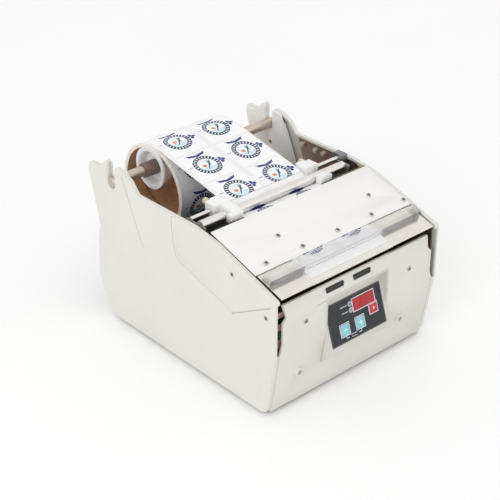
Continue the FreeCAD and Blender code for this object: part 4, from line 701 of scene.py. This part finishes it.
# Boards, and the control panel's film, window and keys.
MASK = Finish("green_solder_mask", "1c5a35", "2c7a48", 0.3, patch=2.2, share=0.8, relief=0.02)
FILM = Membrane("printed_polyester_film", "24262b", "2c2e34", 0.46, patch=25, share=0.3, grain=0.25)
FILTER = Digits("red_filter_window", "b8242e", "a41b25", 0.16, patch=12, grain=0.8, relief=0.002)
KEY_RED = KeyCap("lacquered_key_red", "d3323f", "bb2735", key=START_KEY,
                 sign="(abs(b) < 1.2) * (a > (-1.0)) * ((a + abs(b) * 0.9) < 1.0)")
KEY_MINUS = KeyCap("lacquered_key_minus", "8fd3de", "77c3d2", key=MINUS_KEY,
                   sign="(abs(b) < 0.5) * (abs(a) < 2.1)")
KEY_PLUS = KeyCap("lacquered_key_plus", "8fd3de", "77c3d2")

NODE_FINISHES: tuple[tuple[Finish, str], ...] = (
    (COVER, "left_cover right_cover front_cover"),
    (PANEL, "panel_housing"),
    (POWDER, "left_cheek right_cheek"),
    (TOP_COAT, "top_plate"),
    (BLACK_ZINC, "left_side_plate right_side_plate"),
    (GALVANISED, "base_pan rear_panel reel_tray motor_bracket rod_brackets"),
    (SLIDE_STEEL, "peel_plate"),
    (BED_STEEL, "paper_bed"),
    (NICKEL, "cover_screws plate_screws door_screws"),
    (ROD, "guide_rod_front guide_rod_rear drive_shaft pinch_axle"),
    (ZINC, "pinch_arm pinch_springs"),
    (SHAFT, "reel_shaft"),
    (SLEEVE, "reel_collars"),
    (FLANGE, "flange_left flange_right"),
    (ACETAL, "guide_left guide_right"),
    (NYLON, "guide_knob_left guide_knob_right"),
    (BAR, "hold_down_bar"),
    (CORE, "cardboard_core"),
    (LINER, "liner_web"),
    (RUBBER, "drive_roller drive_belt rewind_belt feet"),
    (SILICONE, "pinch_roller"),
    (TURNED, "drive_pulleys motor_pulley"),
    (BLACK_NYLON, "rewind_spool"),
    (BRONZE, "shaft_bushes"),
    (CAN, "gearmotor"),
    (CASE, "power_supply"),
    (MASK, "main_board control_board"),
    (BLACK_ABS, "power_inlet power_rocker label_sensor"),
    (FILM, "panel_overlay"),
    (FILTER, "display_module"),
    (KEY_RED, "start_button"),
    (KEY_MINUS, "minus_button"),
    (KEY_PLUS, "plus_button"),
)


def dress(thing: Thing, finish: Finish) -> Thing:
    """Give a piece one finish all over.

    Args:
        thing: the piece.
        finish: its finish.

    Returns:
        The same piece.
    """
    for slot in thing.material_slots:
        slot.material = finish.material()
    if not thing.material_slots:
        thing.data.materials.append(finish.material())
    return thing


# ---------------------------------------------------------------------------------------------------
# Making meshes


def clear_selection() -> None:
    """Leave edit mode and deselect every object."""
    if bpy.context.object and bpy.context.object.mode != "OBJECT":
        bpy.ops.object.mode_set(mode="OBJECT")
    bpy.ops.object.select_all(action="DESELECT")


def pick(thing: Thing) -> Thing:
    """Select one object alone and make it active.

    Args:
        thing: the object.

    Returns:
        The same object.
    """
    clear_selection()
    thing.select_set(True)
    bpy.context.view_layer.objects.active = thing
    return thing


@contextmanager
def editing(thing: Thing) -> Iterator[None]:
    """Edit a piece's mesh, with all of it selected to begin with.

    Args:
        thing: the piece.

    Yields:
        Nothing, while the piece is in edit mode.
    """
    pick(thing)
    bpy.ops.object.mode_set(mode="EDIT")
    bpy.ops.mesh.select_mode(type="VERT")
    bpy.ops.mesh.select_all(action="SELECT")
    yield
    bpy.ops.object.mode_set(mode="OBJECT")


def select_faces(thing: Thing, chosen: Callable[[bmesh.types.BMFace], bool]) -> None:
    """Select faces in edit mode.

    Args:
        thing: the piece, in edit mode.
        chosen: says whether a face is selected.
    """
    bpy.ops.mesh.select_mode(type="FACE")
    mesh = bmesh.from_edit_mesh(thing.data)
    for face in mesh.faces:
        face.select_set(bool(chosen(face)))
    mesh.select_flush_mode()
    bmesh.update_edit_mesh(thing.data)


def extrude(step: Vector) -> None:
    """Extrude what is selected in edit mode by a step in metres."""
    bpy.ops.mesh.extrude_region_move(TRANSFORM_OT_translate={"value": tuple(step)})


def smooth(thing: Thing) -> Thing:
    """Shade a piece smooth except at its sharp edges.

    Args:
        thing: the piece.

    Returns:
        The same piece.
    """
    pick(thing)
    bpy.ops.object.shade_smooth_by_angle(angle=SMOOTH_BELOW)
    return thing


def apply_modifier(thing: Thing, kind: str, **values: Any) -> None:
    """Add a modifier and apply it.

    Args:
        thing: the piece.
        kind: the modifier's type.
        values: its settings.
    """
    pick(thing)
    modifier = thing.modifiers.new(kind.title(), kind)
    for name, value in values.items():
        setattr(modifier, name, value)
    bpy.ops.object.modifier_apply(modifier=modifier.name)


def bevel(thing: Thing, width: float, degrees: float, miter: str = "MITER_SHARP") -> None:
    """Break a piece's edges, `width` millimetres wide, where two faces meet at more than `degrees`."""
    apply_modifier(thing, "BEVEL", width=width * MM, segments=2, limit_method="ANGLE", miter_outer=miter,
                   angle_limit=math.radians(degrees), use_clamp_overlap=True)


def linked(name: str, data: bpy.types.ID) -> Thing:
    """Put an object with this data in the scene.

    Args:
        name: the object's name.
        data: its mesh, lamp or camera.

    Returns:
        The new object.
    """
    thing = bpy.data.objects.new(name, data)
    bpy.context.scene.collection.objects.link(thing)
    return thing


def copied(node: str) -> Thing:
    """Copy a CAD node's mesh, joined up to closed, flat-sided faces.

    Args:
        node: the CAD node's name.

    Returns:
        The copy.
    """
    thing = pick(linked(node + "_finished", frame["nodes"][node].data.copy()))
    if thing.data.has_custom_normals:
        bpy.ops.mesh.customdata_custom_splitnormals_clear()
    with editing(thing):
        bpy.ops.mesh.remove_doubles(threshold=MERGE_WITHIN * MM)
        bpy.ops.mesh.dissolve_limited(angle_limit=FLAT_WITHIN)
    return thing


def softened(node: str, width: float) -> Thing:
    """Copy a CAD node and break its sharp edges, as the real piece's are.

    Args:
        node: the CAD node's name.
        width: the width of the broken edge in millimetres.

    Returns:
        The new piece, which stands for the node.
    """
    thing = copied(node)
    bevel(thing, width, degrees=30, miter="MITER_ARC")
    smooth(thing)
    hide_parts(node)
    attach(thing, frame["nodes"][node]["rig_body"])
    return thing


def block(name: str, low: Vector, high: Vector) -> Thing:
    """A block between two corners, as the start of a piece or as a cutter.

    Args:
        name: the object's name.
        low: its lowest corner.
        high: its highest corner.

    Returns:
        The block.
    """
    clear_selection()
    bpy.ops.mesh.primitive_cube_add(size=1.0)
    made = bpy.context.object
    made.name = name
    with editing(made):
        bpy.ops.transform.resize(value=tuple(high - low))
        bpy.ops.transform.translate(value=tuple((high + low) / 2))
    return made


def set_down(thing: Thing, at: Matrix) -> Thing:
    """Move a new piece to its place.

    Args:
        thing: the piece.
        at: its place and turn.

    Returns:
        The same piece, with the move applied to its mesh.
    """
    thing.matrix_world = at
    pick(thing)
    bpy.ops.object.transform_apply(location=True, rotation=True, scale=True)
    return thing


def volume(thing: Thing) -> float:
    """The volume inside a closed mesh, in cubic metres.

    Args:
        thing: the piece.

    Returns:
        The volume.
    """
    mesh = bmesh.new()
    mesh.from_mesh(thing.data)
    inside = abs(mesh.calc_volume())
    mesh.free()
    return inside


def carve(thing: Thing, cutter: Thing) -> None:
    """Take a cutter's shape out of a piece and remove the cutter.

    A cut that takes more than the cutter holds has gone wrong, so the piece then stays whole.

    Args:
        thing: the piece.
        cutter: the shape to take out.
    """
    whole, held, room = thing.data.copy(), volume(thing), volume(cutter)
    apply_modifier(thing, "BOOLEAN", operation="DIFFERENCE", object=cutter, solver="EXACT")
    lost = held - volume(thing)
    if -CUT_SLACK * room <= lost <= (1 + CUT_SLACK) * room:
        bpy.data.meshes.remove(whole)
    else:
        LOG.warning("%s: one cut went wrong and was left out", thing.name)
        thing.data = whole
    bpy.data.objects.remove(cutter)


# ---------------------------------------------------------------------------------------------------
# Sub-assemblies


@dataclass(frozen=True)
class Seam:
    """A fine groove: its corners on the piece's face, and how much wider and deeper than usual it is."""

    corners: Line
    times: float = 1.0


@dataclass
class Covers:
    """The moulded shells and sheet parts whose edges catch the light, with their moulded seams.

    `plan` gives each piece's node, the width of its broken edges, its finish and its slot. The left cover
    comes before the right one, which is its mirror image. `sight` is how far out a seam is projected from.
    """

    seam_width: float = 0.75
    seam_depth: float = 0.9
    sight: float = 30.0
    side_seams: tuple[Seam, ...] = (
        Seam(((198.0, 155.0), (187.9, 132.4), (174.2, 101.7), (170.0, 96.0))),
        Seam(((130.0, 143.0), (128.5, 120.9), (125.0, 107.5), (117.0, 101.0))),
        Seam(((51.7, 83.2), (5.0, 109.6)), times=1.4),
    )
    door_seams: tuple[Seam, ...] = (
        Seam(((-51.3, 94.2), (-40.9, 94.7))),
        Seam(((33.6, 94.0), (34.4, 79.5), (32.0, 64.0))),
    )
    plan: tuple[tuple[str, float, Finish, str], ...] = (
        ("left_cover", 0.45, COVER, "cover_white"),
        ("right_cover", 0.45, COVER, "cover_white"),
        ("front_cover", 0.4, COVER, "cover_white"),
        ("panel_housing", 0.5, PANEL, "panel_white"),
        ("left_cheek", 0.3, POWDER, "sheet_white"),
        ("right_cheek", 0.3, POWDER, "sheet_white"),
        ("top_plate", 0.25, TOP_COAT, "sheet_white"),
        ("guide_left", 0.9, ACETAL, "guide"),
        ("guide_right", 0.9, ACETAL, "guide"),
        ("rod_brackets", 0.3, GALVANISED, "sheet_steel"),
        ("reel_collars", 0.4, SLEEVE, "collar"),
    )

    def score(self, thing: Thing, points: Sequence[Vector], outward: Vector, times: float) -> None:
        """Cut a fine seam into a surface.

        Args:
            thing: the piece.
            points: places above the seam's corners.
            outward: the way the surface looks.
            times: how much wider and deeper than the usual seam it is.
        """
        rays = [thing.ray_cast(point + outward * self.sight * MM, -outward) for point in points]
        wide, deep = self.seam_width * times * MM, self.seam_depth * times * MM
        for a, b in pairwise([corner for hit, corner, _, _ in rays if hit]):
            along = (b - a).normalized()
            side = along.cross(outward).normalized()
            turn = Matrix((along, side, along.cross(side))).transposed().to_4x4()
            half = Vector(((b - a).length / 2 + wide / 2, wide / 2, deep))
            carve(thing, set_down(block("seam_cutter", -half, half), Matrix.Translation((a + b) / 2) @ turn))

    def seams(self, thing: Thing, node: str) -> None:
        """Cut the seams of one moulding.

        Args:
            thing: the piece.
            node: the CAD node it stands for.
        """
        if node == "left_cover":
            for seam in self.side_seams:
                points = [place(-HALF_WIDTH, *corner) for corner in seam.corners]
                self.score(thing, points, Vector((-1, 0, 0)), seam.times)
        if node == "front_cover":
            for seam in self.door_seams:
                points = [place(x, 0.0, height) for x, height in seam.corners]
                self.score(thing, points, Vector((0, -1, 0)), seam.times)

    def mirrored(self, other: Thing, node: str) -> Thing:
        """Make a moulding as the mirror image of its finished twin.

        Args:
            other: the finished twin.
            node: the CAD node the new piece stands for.

        Returns:
            The new piece.
        """
        thing = linked(node + "_finished", other.data.copy())
        with editing(thing):
            bpy.ops.transform.resize(value=(-1, 1, 1), center_override=(0, 0, 0))
            bpy.ops.mesh.flip_normals()
        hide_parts(node)
        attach(thing, frame["nodes"][node]["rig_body"])
        return thing

    def build(self) -> list[Thing]:
        """Soften, score and dress the outer pieces.

        Returns:
            The new pieces.
        """
        made: dict[str, Thing] = {}
        for node, width, finish, slot in self.plan:
            if node == "right_cover":
                thing = self.mirrored(made["left_cover"], node)
            else:
                thing = softened(node, width)
            self.seams(thing, node)
            with editing(thing):
                bpy.ops.mesh.quads_convert_to_tris(quad_method="BEAUTY", ngon_method="BEAUTY")
            dress(smooth(thing), finish)
            made[node] = thing
        return list(made.values())


class WebLine:
    """A line that the web follows, as run and height, with the distance travelled to each of its points."""

    def __init__(self, points: Line) -> None:
        """Measure the line.

        Args:
            points: its points in the order of travel.
        """
        self.points = list(points)
        steps = (math.dist(a, b) for a, b in pairwise(self.points))
        self.travelled = list(accumulate(steps, initial=0.0))

    def dense(self, merge: float, step: float) -> "WebLine":
        """The same line with its points evened out.

        Args:
            merge: points closer than this to the one before are dropped.
            step: the most that two points may lie apart.

        Returns:
            The new line.
        """
        line = self.points[:1] + [b for a, b in pairwise(self.points) if math.dist(a, b) > merge]
        points = line[:1]
        for a, b in pairwise(line):
            parts = max(1, math.ceil(math.dist(a, b) / step))
            points += [(a[0] + (b[0] - a[0]) * k / parts, a[1] + (b[1] - a[1]) * k / parts)
                       for k in range(1, parts + 1)]
        return WebLine(points)

    def distance(self, run: float) -> float:
        """How far along the line a run lies where the line first passes it.

        Args:
            run: the run.

        Returns:
            The distance from the line's start, or 0 if the line never passes the run.
        """
        for (a, b), (first, last) in zip(pairwise(self.points), pairwise(self.travelled)):
            if a[0] >= run >= b[0]:
                return first + (last - first) * (a[0] - run) / (a[0] - b[0])
        return 0.0


@dataclass
class Paper:
    """The label roll and the printed web that runs off it to the peel edge.

    A rod is its run, height and radius. `lift` is how far the web's middle lies off what it passes, and
    `crest` and `labels_end` lie up the slide. A row of badges lies at `row_run` on the free web and another
    at `front_row` up the slide; the print is set back or on between the two runs of `wrap`.
    """

    roll_radius: float = 42.1
    roll_wall: float = 1.6
    roll_facets: int = 144
    print_radius: float = 46.2
    thickness: float = 0.22
    lap: float = 0.3
    lift: float = 0.15
    rear_rod: tuple[float, float, float] = (115.0, 143.5, 2.0)
    front_rod: tuple[float, float, float] = (102.0, 142.4, 4.5)
    crest: float = 88.4
    crest_radius: float = 2.0
    labels_end: float = 6.0
    row_run: float = 165.4
    front_row: float = 38.1
    wrap: tuple[float, float] = (117.0, 91.0)
    bend_step: float = 0.7
    straight_step: float = 8.0
    merge: float = 1e-4

    def path(self) -> WebLine:
        """The web's middle line from the roll to where its labels end.

        Returns:
            The line.
        """
        crest = over_slide(self.crest, self.lift - self.crest_radius)
        return self.bends((
            (*REEL_AXIS, self.roll_radius + self.lap + self.lift),
            (*self.rear_rod[:2], self.rear_rod[2] + self.lift),
            (*self.front_rod[:2], -self.front_rod[2] - self.lift),
            (*crest, self.crest_radius),
            (*over_slide(self.labels_end, self.lift), 0.0),
        ))

    def bends(self, stops: Sequence[tuple[float, float, float]]) -> WebLine:
        """The line round some stops, from the first stop's tangent point.

        Args:
            stops: run, height and radius of each, the radius negative where the web passes below the stop.

        Returns:
            The line, its points close together on the bends.
        """
        legs = []
        for (ay, az, ar), (by, bz, br) in pairwise(stops):
            heading = math.atan2(bz - az, by - ay)
            lean = math.acos(max(-1.0, min(1.0, (ar - br) / math.hypot(by - ay, bz - az))))
            # the web travels towards the front, so the side it lies on is clockwise of its travel
            turn = heading - lean
            across, up = math.cos(turn), math.sin(turn)
            legs.append(((ay + ar * across, az + ar * up), (by + br * across, bz + br * up), turn))
        line = [*legs[0][:2]]
        for (y, z, radius), (_, _, first), (_, meet, last) in zip(stops[1:], legs, legs[1:]):
            parts = max(2, math.ceil(abs((last - first) * radius) / self.bend_step))
            turns = [first + (last - first) * k / parts for k in range(1, parts + 1)]
            line += [(y + radius * math.cos(turn), z + radius * math.sin(turn)) for turn in turns]
            line.append(meet)
        return WebLine(line)

    def shifts(self, line: WebLine, start: float) -> list[float]:
        """How far the print is set back or on at each point, all of it in the wrap round the two rods.

        Args:
            line: the web's line.
            start: the distance to the row that gives the print its place.

        Returns:
            The print's extra distance at each point.
        """
        row = over_slide(self.front_row)
        _, (run, _), way = min((math.dist(point, row), point, way)
                               for point, way in zip(line.points, line.travelled))
        there = way + (run - row[0]) / math.cos(SLOPE) - start
        number = round(there / LABELS.pitch)
        LOG.info("row %d lies %.1f mm up the slide", number, self.front_row)
        first, last = (min(way for (run, _), way in zip(line.points, line.travelled) if run < limit)
                       for limit in self.wrap)
        shift = number * LABELS.pitch - there
        return [shift * max(0.0, min(1.0, (way - first) / (last - first))) for way in line.travelled]

    def map_print(self, thing: Thing, along: Callable[[bpy.types.MeshPolygon, int], float]) -> None:
        """Write the print's map: across and along the web, in metres.

        Args:
            thing: the piece.
            along: the millimetres along the web at a face's corner, from the face and the vertex's number.
        """
        layer = thing.data.uv_layers.new(name="Print")
        for polygon in thing.data.polygons:
            for index in polygon.loop_indices:
                vertex = thing.data.loops[index].vertex_index
                across = thing.data.vertices[vertex].co.x + 0.5
                layer.data[index].uv = (across, along(polygon, vertex) * MM)

    def thicken(self, thing: Thing, outside: Finish, inside: Finish, wall: float, offset: float) -> None:
        """Dress a sheet on both sides, thicken it and smooth it.

        Args:
            thing: the sheet.
            outside: the finish of its face.
            inside: the finish of its back and edges.
            wall: its thickness in millimetres.
            offset: 0 to thicken both ways, or -1 to thicken inwards.
        """
        for finish in (outside, inside):
            thing.data.materials.append(finish.material())
        apply_modifier(thing, "SOLIDIFY", thickness=wall * MM, offset=offset, material_offset=1,
                       material_offset_rim=1)
        smooth(thing)

    def web(self) -> Thing:
        """Extrude the web's edge along its line, print it and give it its thickness.

        Returns:
            The web.
        """
        line = self.path().dense(self.merge, self.straight_step)
        clear_selection()
        bpy.ops.mesh.primitive_plane_add(size=1.0)
        web = bpy.context.object
        web.name = "printed_web"
        mesh = bmesh.new()
        mesh.edges.new([mesh.verts.new(place(WEB_MIDDLE + side * WEB_HALF, *line.points[0]))
                        for side in (-1, 1)])
        mesh.to_mesh(web.data)
        mesh.free()
        with editing(web):
            for a, b in pairwise(line.points):
                extrude(place(0, *b) - place(0, *a))
        start = line.distance(self.row_run)
        shifts = self.shifts(line, start)
        # the extrusion adds two vertices for each point of the line, in order
        self.map_print(web, lambda _, vertex: line.travelled[vertex // 2] - start + shifts[vertex // 2])
        if sum(polygon.normal.z for polygon in web.data.polygons) < 0:
            web.data.flip_normals()
        self.thicken(web, LABELS, LINER_WHITE, self.thickness, 0.0)
        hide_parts("label_web", "roll_tail")
        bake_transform(web)
        return web

    def roll(self) -> Thing:
        """Turn the roll's outer lap, print it and give it the thickness of the labels left on the core.

        Returns:
            The roll.
        """
        clear_selection()
        bpy.ops.mesh.primitive_cylinder_add(vertices=self.roll_facets, radius=self.roll_radius * MM,
                                            depth=2 * WEB_HALF * MM, end_fill_type="NOTHING",
                                            location=place(WEB_MIDDLE, *REEL_AXIS),
                                            rotation=(0, math.pi / 2, 0))
        roll = bpy.context.object
        roll.name = "printed_roll"
        bpy.ops.object.transform_apply(location=True, rotation=True, scale=True)
        line, centre = self.path(), place(0, *REEL_AXIS)
        leave = math.atan2(line.points[0][1] - REEL_AXIS[1], line.points[0][0] - REEL_AXIS[0])
        start = line.distance(self.row_run)

        def along(polygon: bpy.types.MeshPolygon, vertex: int) -> float:
            """The way back round the roll from where the web leaves it, kept whole across each face.

            Args:
                polygon: a face of the roll.
                vertex: the number of one of its vertices.

            Returns:
                The millimetres along the web.
            """
            middle, turn = (math.atan2(point.z - centre.z, point.y - centre.y)
                            for point in (polygon.center, roll.data.vertices[vertex].co))
            turn += math.tau * round((middle - turn) / math.tau)
            back = (leave - middle) % math.tau + (middle - turn)
            return -self.print_radius * back - start

        self.map_print(roll, along)
        self.thicken(roll, LABELS, PAPER_EDGE, self.roll_wall, -1.0)
        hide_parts("label_roll")
        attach(roll, "roll")
        return roll

    def build(self) -> list[Thing]:
        """Make the web and the roll."""
        return [self.web(), self.roll()]


@dataclass
class Screws:
    """The machine screws: each head gets a cross recess, cut into a copy of the plain screws.

    A cover's head is a run and height, a front cover's head also has its x, and the top plate has a row of
    heads along its front and two behind. A head is looked for within `head_radius` and `head_reach`.
    """

    arm: float = 1.45
    width: float = 0.75
    depth: float = 0.6
    degrees: float = 20.0
    head_radius: float = 3.2
    head_reach: float = 6.0
    cover_face: float = 99.9
    cover_heads: Line = ((51.7, 120.8), (10.3, 97.9))
    door_heads: tuple = ((-68.0, 4.9, 34.0), (-64.0, -0.2, 84.5), (56.3, 4.9, 34.0), (62.0, -0.2, 84.5))
    row_heads: tuple[float, ...] = tuple(-76 + 41.6 * i for i in range(5))
    row_along: float = 37.5
    rear_heads: tuple[float, float] = (-45.0, 65.0)
    rear_along: float = 57.6

    def cutter(self, at: Vector, outward: Vector) -> Thing:
        """A cross-shaped punch on a screw head.

        Args:
            at: the middle of the head's face.
            outward: the head's axis.

        Returns:
            The punch.
        """
        half = Vector((self.width / 2, self.width / 2, self.depth)) * MM
        punch = block("recess_cutter", -half, half)
        reach = (self.arm - self.width / 2) * MM
        with editing(punch):
            for way in (Vector((1, 0, 0)), Vector((-1, 0, 0)), Vector((0, 1, 0)), Vector((0, -1, 0))):
                select_faces(punch, lambda face: face.normal.dot(way) > FACING
                             and face.calc_center_median().dot(way) < self.width * MM)
                extrude(way * reach)
        turn = outward.to_track_quat("Z", "Y").to_matrix().to_4x4()
        spin = Matrix.Rotation(math.radians(self.degrees), 4, "Z")
        set_down(punch, Matrix.Translation(at) @ turn @ spin)
        # the punch's faces take the second slot, the painted recess shade, which the cut leaves on the
        # recess walls
        for finish in (NICKEL, RECESS):
            punch.data.materials.append(finish.material())
        for polygon in punch.data.polygons:
            polygon.material_index = 1
        return punch

    def places(self) -> dict[str, list[tuple[Vector, Vector]]]:
        """Where each node's heads are.

        Returns:
            By node, the middle of each head's face and the way it looks.
        """
        slope_up = Vector((0, -math.sin(SLOPE), math.cos(SLOPE)))
        plate = [(x, self.row_along) for x in self.row_heads]
        plate += [(x, self.rear_along) for x in self.rear_heads]
        return {
            "cover_screws": [(place(side * self.cover_face, *head), Vector((side, 0, 0)))
                             for side in (-1, 1) for head in self.cover_heads],
            "door_screws": [(place(*head), Vector((0, -1, 0))) for head in self.door_heads],
            "plate_screws": [(place(x, *over_slide(along)), slope_up) for x, along in plate],
        }

    def build(self) -> list[Thing]:
        """Cut the recesses.

        Returns:
            One piece for each node of screws.
        """
        made = []
        for node, heads in self.places().items():
            thing = dress(copied(node), NICKEL)
            # a second slot for the painted shade that the cuts bring into the recesses
            thing.data.materials.append(RECESS.material())
            corners = [vertex.co.copy() for vertex in thing.data.vertices]
            for at, outward in heads:
                # the head's face lies where the mesh reaches furthest out beside this axis
                steps = [(corner - at, (corner - at).dot(outward)) for corner in corners]
                reach = max(out for step, out in steps if abs(out) < self.head_reach * MM
                            and (step - outward * out).length < self.head_radius * MM)
                carve(thing, self.cutter(at + outward * reach, outward))
            smooth(thing)
            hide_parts(node)
            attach(thing, frame["nodes"][node]["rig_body"])
            made.append(thing)
        return made


@dataclass
class SmallParts:
    """The catch behind the front cover's left grip, black painted-shade fills in its windows, and the wear
    strip behind the top plate.

    A box is its lowest and its highest corner. The catch and the strip are folded at the bends' x.
    """

    catch_box: tuple = ((-95.6, 7.4, 63.5), (-79.0, 8.6, 98.6))
    catch_bend: float = -94.4
    catch_flange: float = 14.0
    slot_boxes: tuple = (
        ((-92.0, 6.4, 87.4), (-76.0, 10.4, 93.6)),
        ((-92.0, 6.4, 72.4), (-76.0, 10.4, 81.6)),
    )
    window_middles: tuple[float, float] = (-29.5, 3.0)
    window_fill_box: tuple = ((-10.1, 1.3, 100.2), (10.1, 3.4, 104.8))
    window_fill_rim: float = 1.1
    window_fill_dish: float = 0.35
    strip_box: tuple = ((53.0, 86.6, 142.7), (92.6, 87.9, 143.7))
    strip_bend: float = 87.0
    strip_tab: float = 5.4
    strip_taper: float = 0.4
    edge: float = 0.25
    window_fill_edge: float = 0.2

    def fold(self, thing: Thing, bend: float, side: int, reach: float, taper: float = 1.0) -> None:
        """Draw out the rear face of a strip on one side of a bend.

        Args:
            thing: the strip.
            bend: the bend's x in millimetres.
            side: 1 for the part to the right of the bend, -1 for the left.
            reach: how far the face is drawn out.
            taper: the width that its end keeps, as a share.
        """
        with editing(thing):
            bpy.ops.mesh.bisect(plane_co=(bend * MM, 0, 0), plane_no=(1, 0, 0))
            select_faces(thing, lambda face: face.normal.y > FACING
                         and (face.calc_center_median().x - bend * MM) * side > 0)
            extrude(Vector((0, reach * MM, 0)))
            bpy.ops.transform.resize(value=(taper, 1, 1))

    def trim(self, thing: Thing, width: float, finish: Finish) -> None:
        """Break a piece's edges, `width` millimetres wide, smooth it and dress it."""
        bevel(thing, width, degrees=40)
        dress(smooth(thing), finish)

    def catch(self) -> Thing:
        """Bend the catch: a slotted tab with a flange on the side plate.

        Returns:
            The catch.
        """
        thing = block("door_catch", *(place(*corner) for corner in self.catch_box))
        self.fold(thing, self.catch_bend, -1, self.catch_flange)
        for box in self.slot_boxes:
            carve(thing, block("slot_cutter", *(place(*corner) for corner in box)))
        self.trim(thing, self.edge, PRIMER)
        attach(thing, "chassis")
        return thing

    def window_shade_fills(self) -> Thing:
        """Black blocks set in the front cover's two windows: painted shade, standing in for the dark inside
        them.

        Returns:
            Both blocks as one piece.
        """
        ends = []
        # painted shade: black blocks fill the two windows, where the shade inside them falls
        for middle in self.window_middles:
            end = block("window_shade_fills", *(place(middle + x, *rest) for x, *rest in self.window_fill_box))
            with editing(end):
                select_faces(end, lambda face: face.normal.y < -FACING)
                bpy.ops.mesh.inset(thickness=self.window_fill_rim * MM, depth=-self.window_fill_dish * MM)
            ends.append(end)
        thing = pick(ends[0])
        for end in ends:
            end.select_set(True)
        bpy.ops.object.join()
        self.trim(thing, self.window_fill_edge, BLACK_ABS)
        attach(thing, frame["nodes"]["front_cover"]["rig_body"])
        return thing

    def wear_strip(self) -> Thing:
        """The strip along the bed's rear edge, with a tab at its right end.

        Returns:
            The strip.
        """
        thing = block("rear_wear_strip", *(place(*corner) for corner in self.strip_box))
        self.fold(thing, self.strip_bend, 1, self.strip_tab, self.strip_taper)
        self.trim(thing, self.edge, BRASS)
        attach(thing, "chassis")
        return thing

    def build(self) -> list[Thing]:
        """Make the three small parts."""
        return [self.catch(), self.window_shade_fills(), self.wear_strip()]


@dataclass
class Studio:
    """The floor, the white surround, the soft lights and the camera.

    Places are metres. A lamp is its name, its place, its side and its power, and faces `target`. `ambient`
    is how strongly the surround lights diffuse surfaces; the camera, mirrors and glass see it at full
    strength.
    """

    location: tuple[float, float, float] = (-0.7190, -0.7838, 0.6895)
    right: tuple[float, float, float] = (0.74307, -0.66922, 0.0)
    up: tuple[float, float, float] = (0.33409, 0.37096, 0.86649)
    back: tuple[float, float, float] = (-0.57987, -0.64385, 0.49922)
    lens: float = 96.39
    sensor: float = 36.0
    far: float = 20.0
    floor_size: float = 12.0
    floor_patch: float = 1000 / 3
    floor_glow: float = 0.05
    ambient: float = 0.82
    target: tuple[float, float, float] = (0, 0, 0.08)
    lamps: tuple = (
        ("key_softbox", (-1.9, -0.8, 1.3), 1.5, 11.5),
        ("fill_softbox", (1.5, -1.1, 1.2), 1.6, 1.5),
        ("top_softbox", (0.1, 0.2, 2.2), 1.8, 2.0),
    )

    def camera(self) -> None:
        """Set up the camera."""
        data = bpy.data.cameras.new("camera")
        data.lens, data.sensor_width, data.clip_end = self.lens, self.sensor, self.far
        camera = linked("camera", data)
        rows = zip(self.right, self.up, self.back, self.location)
        camera.matrix_world = Matrix([list(row) for row in rows] + [[0, 0, 0, 1]])
        bpy.context.scene.camera = camera

    def light(self, name: str, at: Sequence[float], width: float, watts: float) -> None:
        """Add a square soft box that faces the machine.

        Args:
            name: the lamp's name.
            at: its place in metres.
            width: its side in metres.
            watts: its power.
        """
        data = bpy.data.lights.new(name, "AREA")
        data.shape, data.size, data.energy = "SQUARE", width, watts
        lamp = linked(name, data)
        lamp.location = at
        lamp.rotation_euler = (Vector(self.target) - Vector(at)).to_track_quat("-Z", "Y").to_euler()

    def floor(self) -> None:
        """Lay the table: a wide pale matt sheet that looks white to the camera and keeps shadows."""
        paper = Surface("seamless_paper")
        cloud = paper.noise(self.floor_patch, 2.0)
        paper.let(eye=paper.node("LightPath").outputs["Is Camera Ray"], glow=self.floor_glow)
        clear_selection()
        bpy.ops.mesh.primitive_plane_add(size=self.floor_size, location=(0, 0, 0))
        floor = bpy.context.object
        floor.name = "floor"
        floor.data.materials.append(paper.shaded({
            "Roughness": 0.9, "Base Color": paper.mix(cloud, "fbfbfb", "ffffff"),
            "Emission Color": linear("ffffff"), "Emission Strength": paper.formula("eye * glow")}))

    def world(self) -> None:
        """An even white surround: it lights softly, and shows white to the camera, mirrors and glass."""
        world = bpy.data.worlds.new("surround")
        bpy.context.scene.world = world
        world.use_nodes = True
        sky = Pattern(world.node_tree)
        rays = sky.node("LightPath").outputs
        sky.let(camera=rays["Is Camera Ray"], glossy=rays["Is Glossy Ray"],
                through=rays["Is Transmission Ray"], ambient=self.ambient)
        strength = sky.formula("ambient + min(1, camera + glossy + through) * (1 - ambient)")
        glow = sky.node("Background", {"Color": linear("ffffff"), "Strength": strength})
        sky.node("OutputWorld", {"Surface": glow.outputs[0]})

    def build(self) -> None:
        """Set the whole stage."""
        self.camera()
        self.floor()
        self.world()
        for lamp in self.lamps:
            self.light(*lamp)
        LOG.info("stage set")


def main() -> None:
    """Build the machine's looks, piece by piece."""
    logging.basicConfig(level=logging.INFO, format="%(message)s")
    bpy.context.scene.view_settings.view_transform = "Standard"
    Studio().build()
    for finish, nodes in NODE_FINISHES:
        for node in nodes.split():
            dress(frame["nodes"][node], finish)
        LOG.info("%s: %s", finish.name, nodes)
    for part in (Covers, Paper, Screws, SmallParts):
        for thing in part().build():
            LOG.info("%s: %s, %d faces", part.__name__, thing.name, len(thing.data.polygons))


if __name__ == "__main__":
    main()
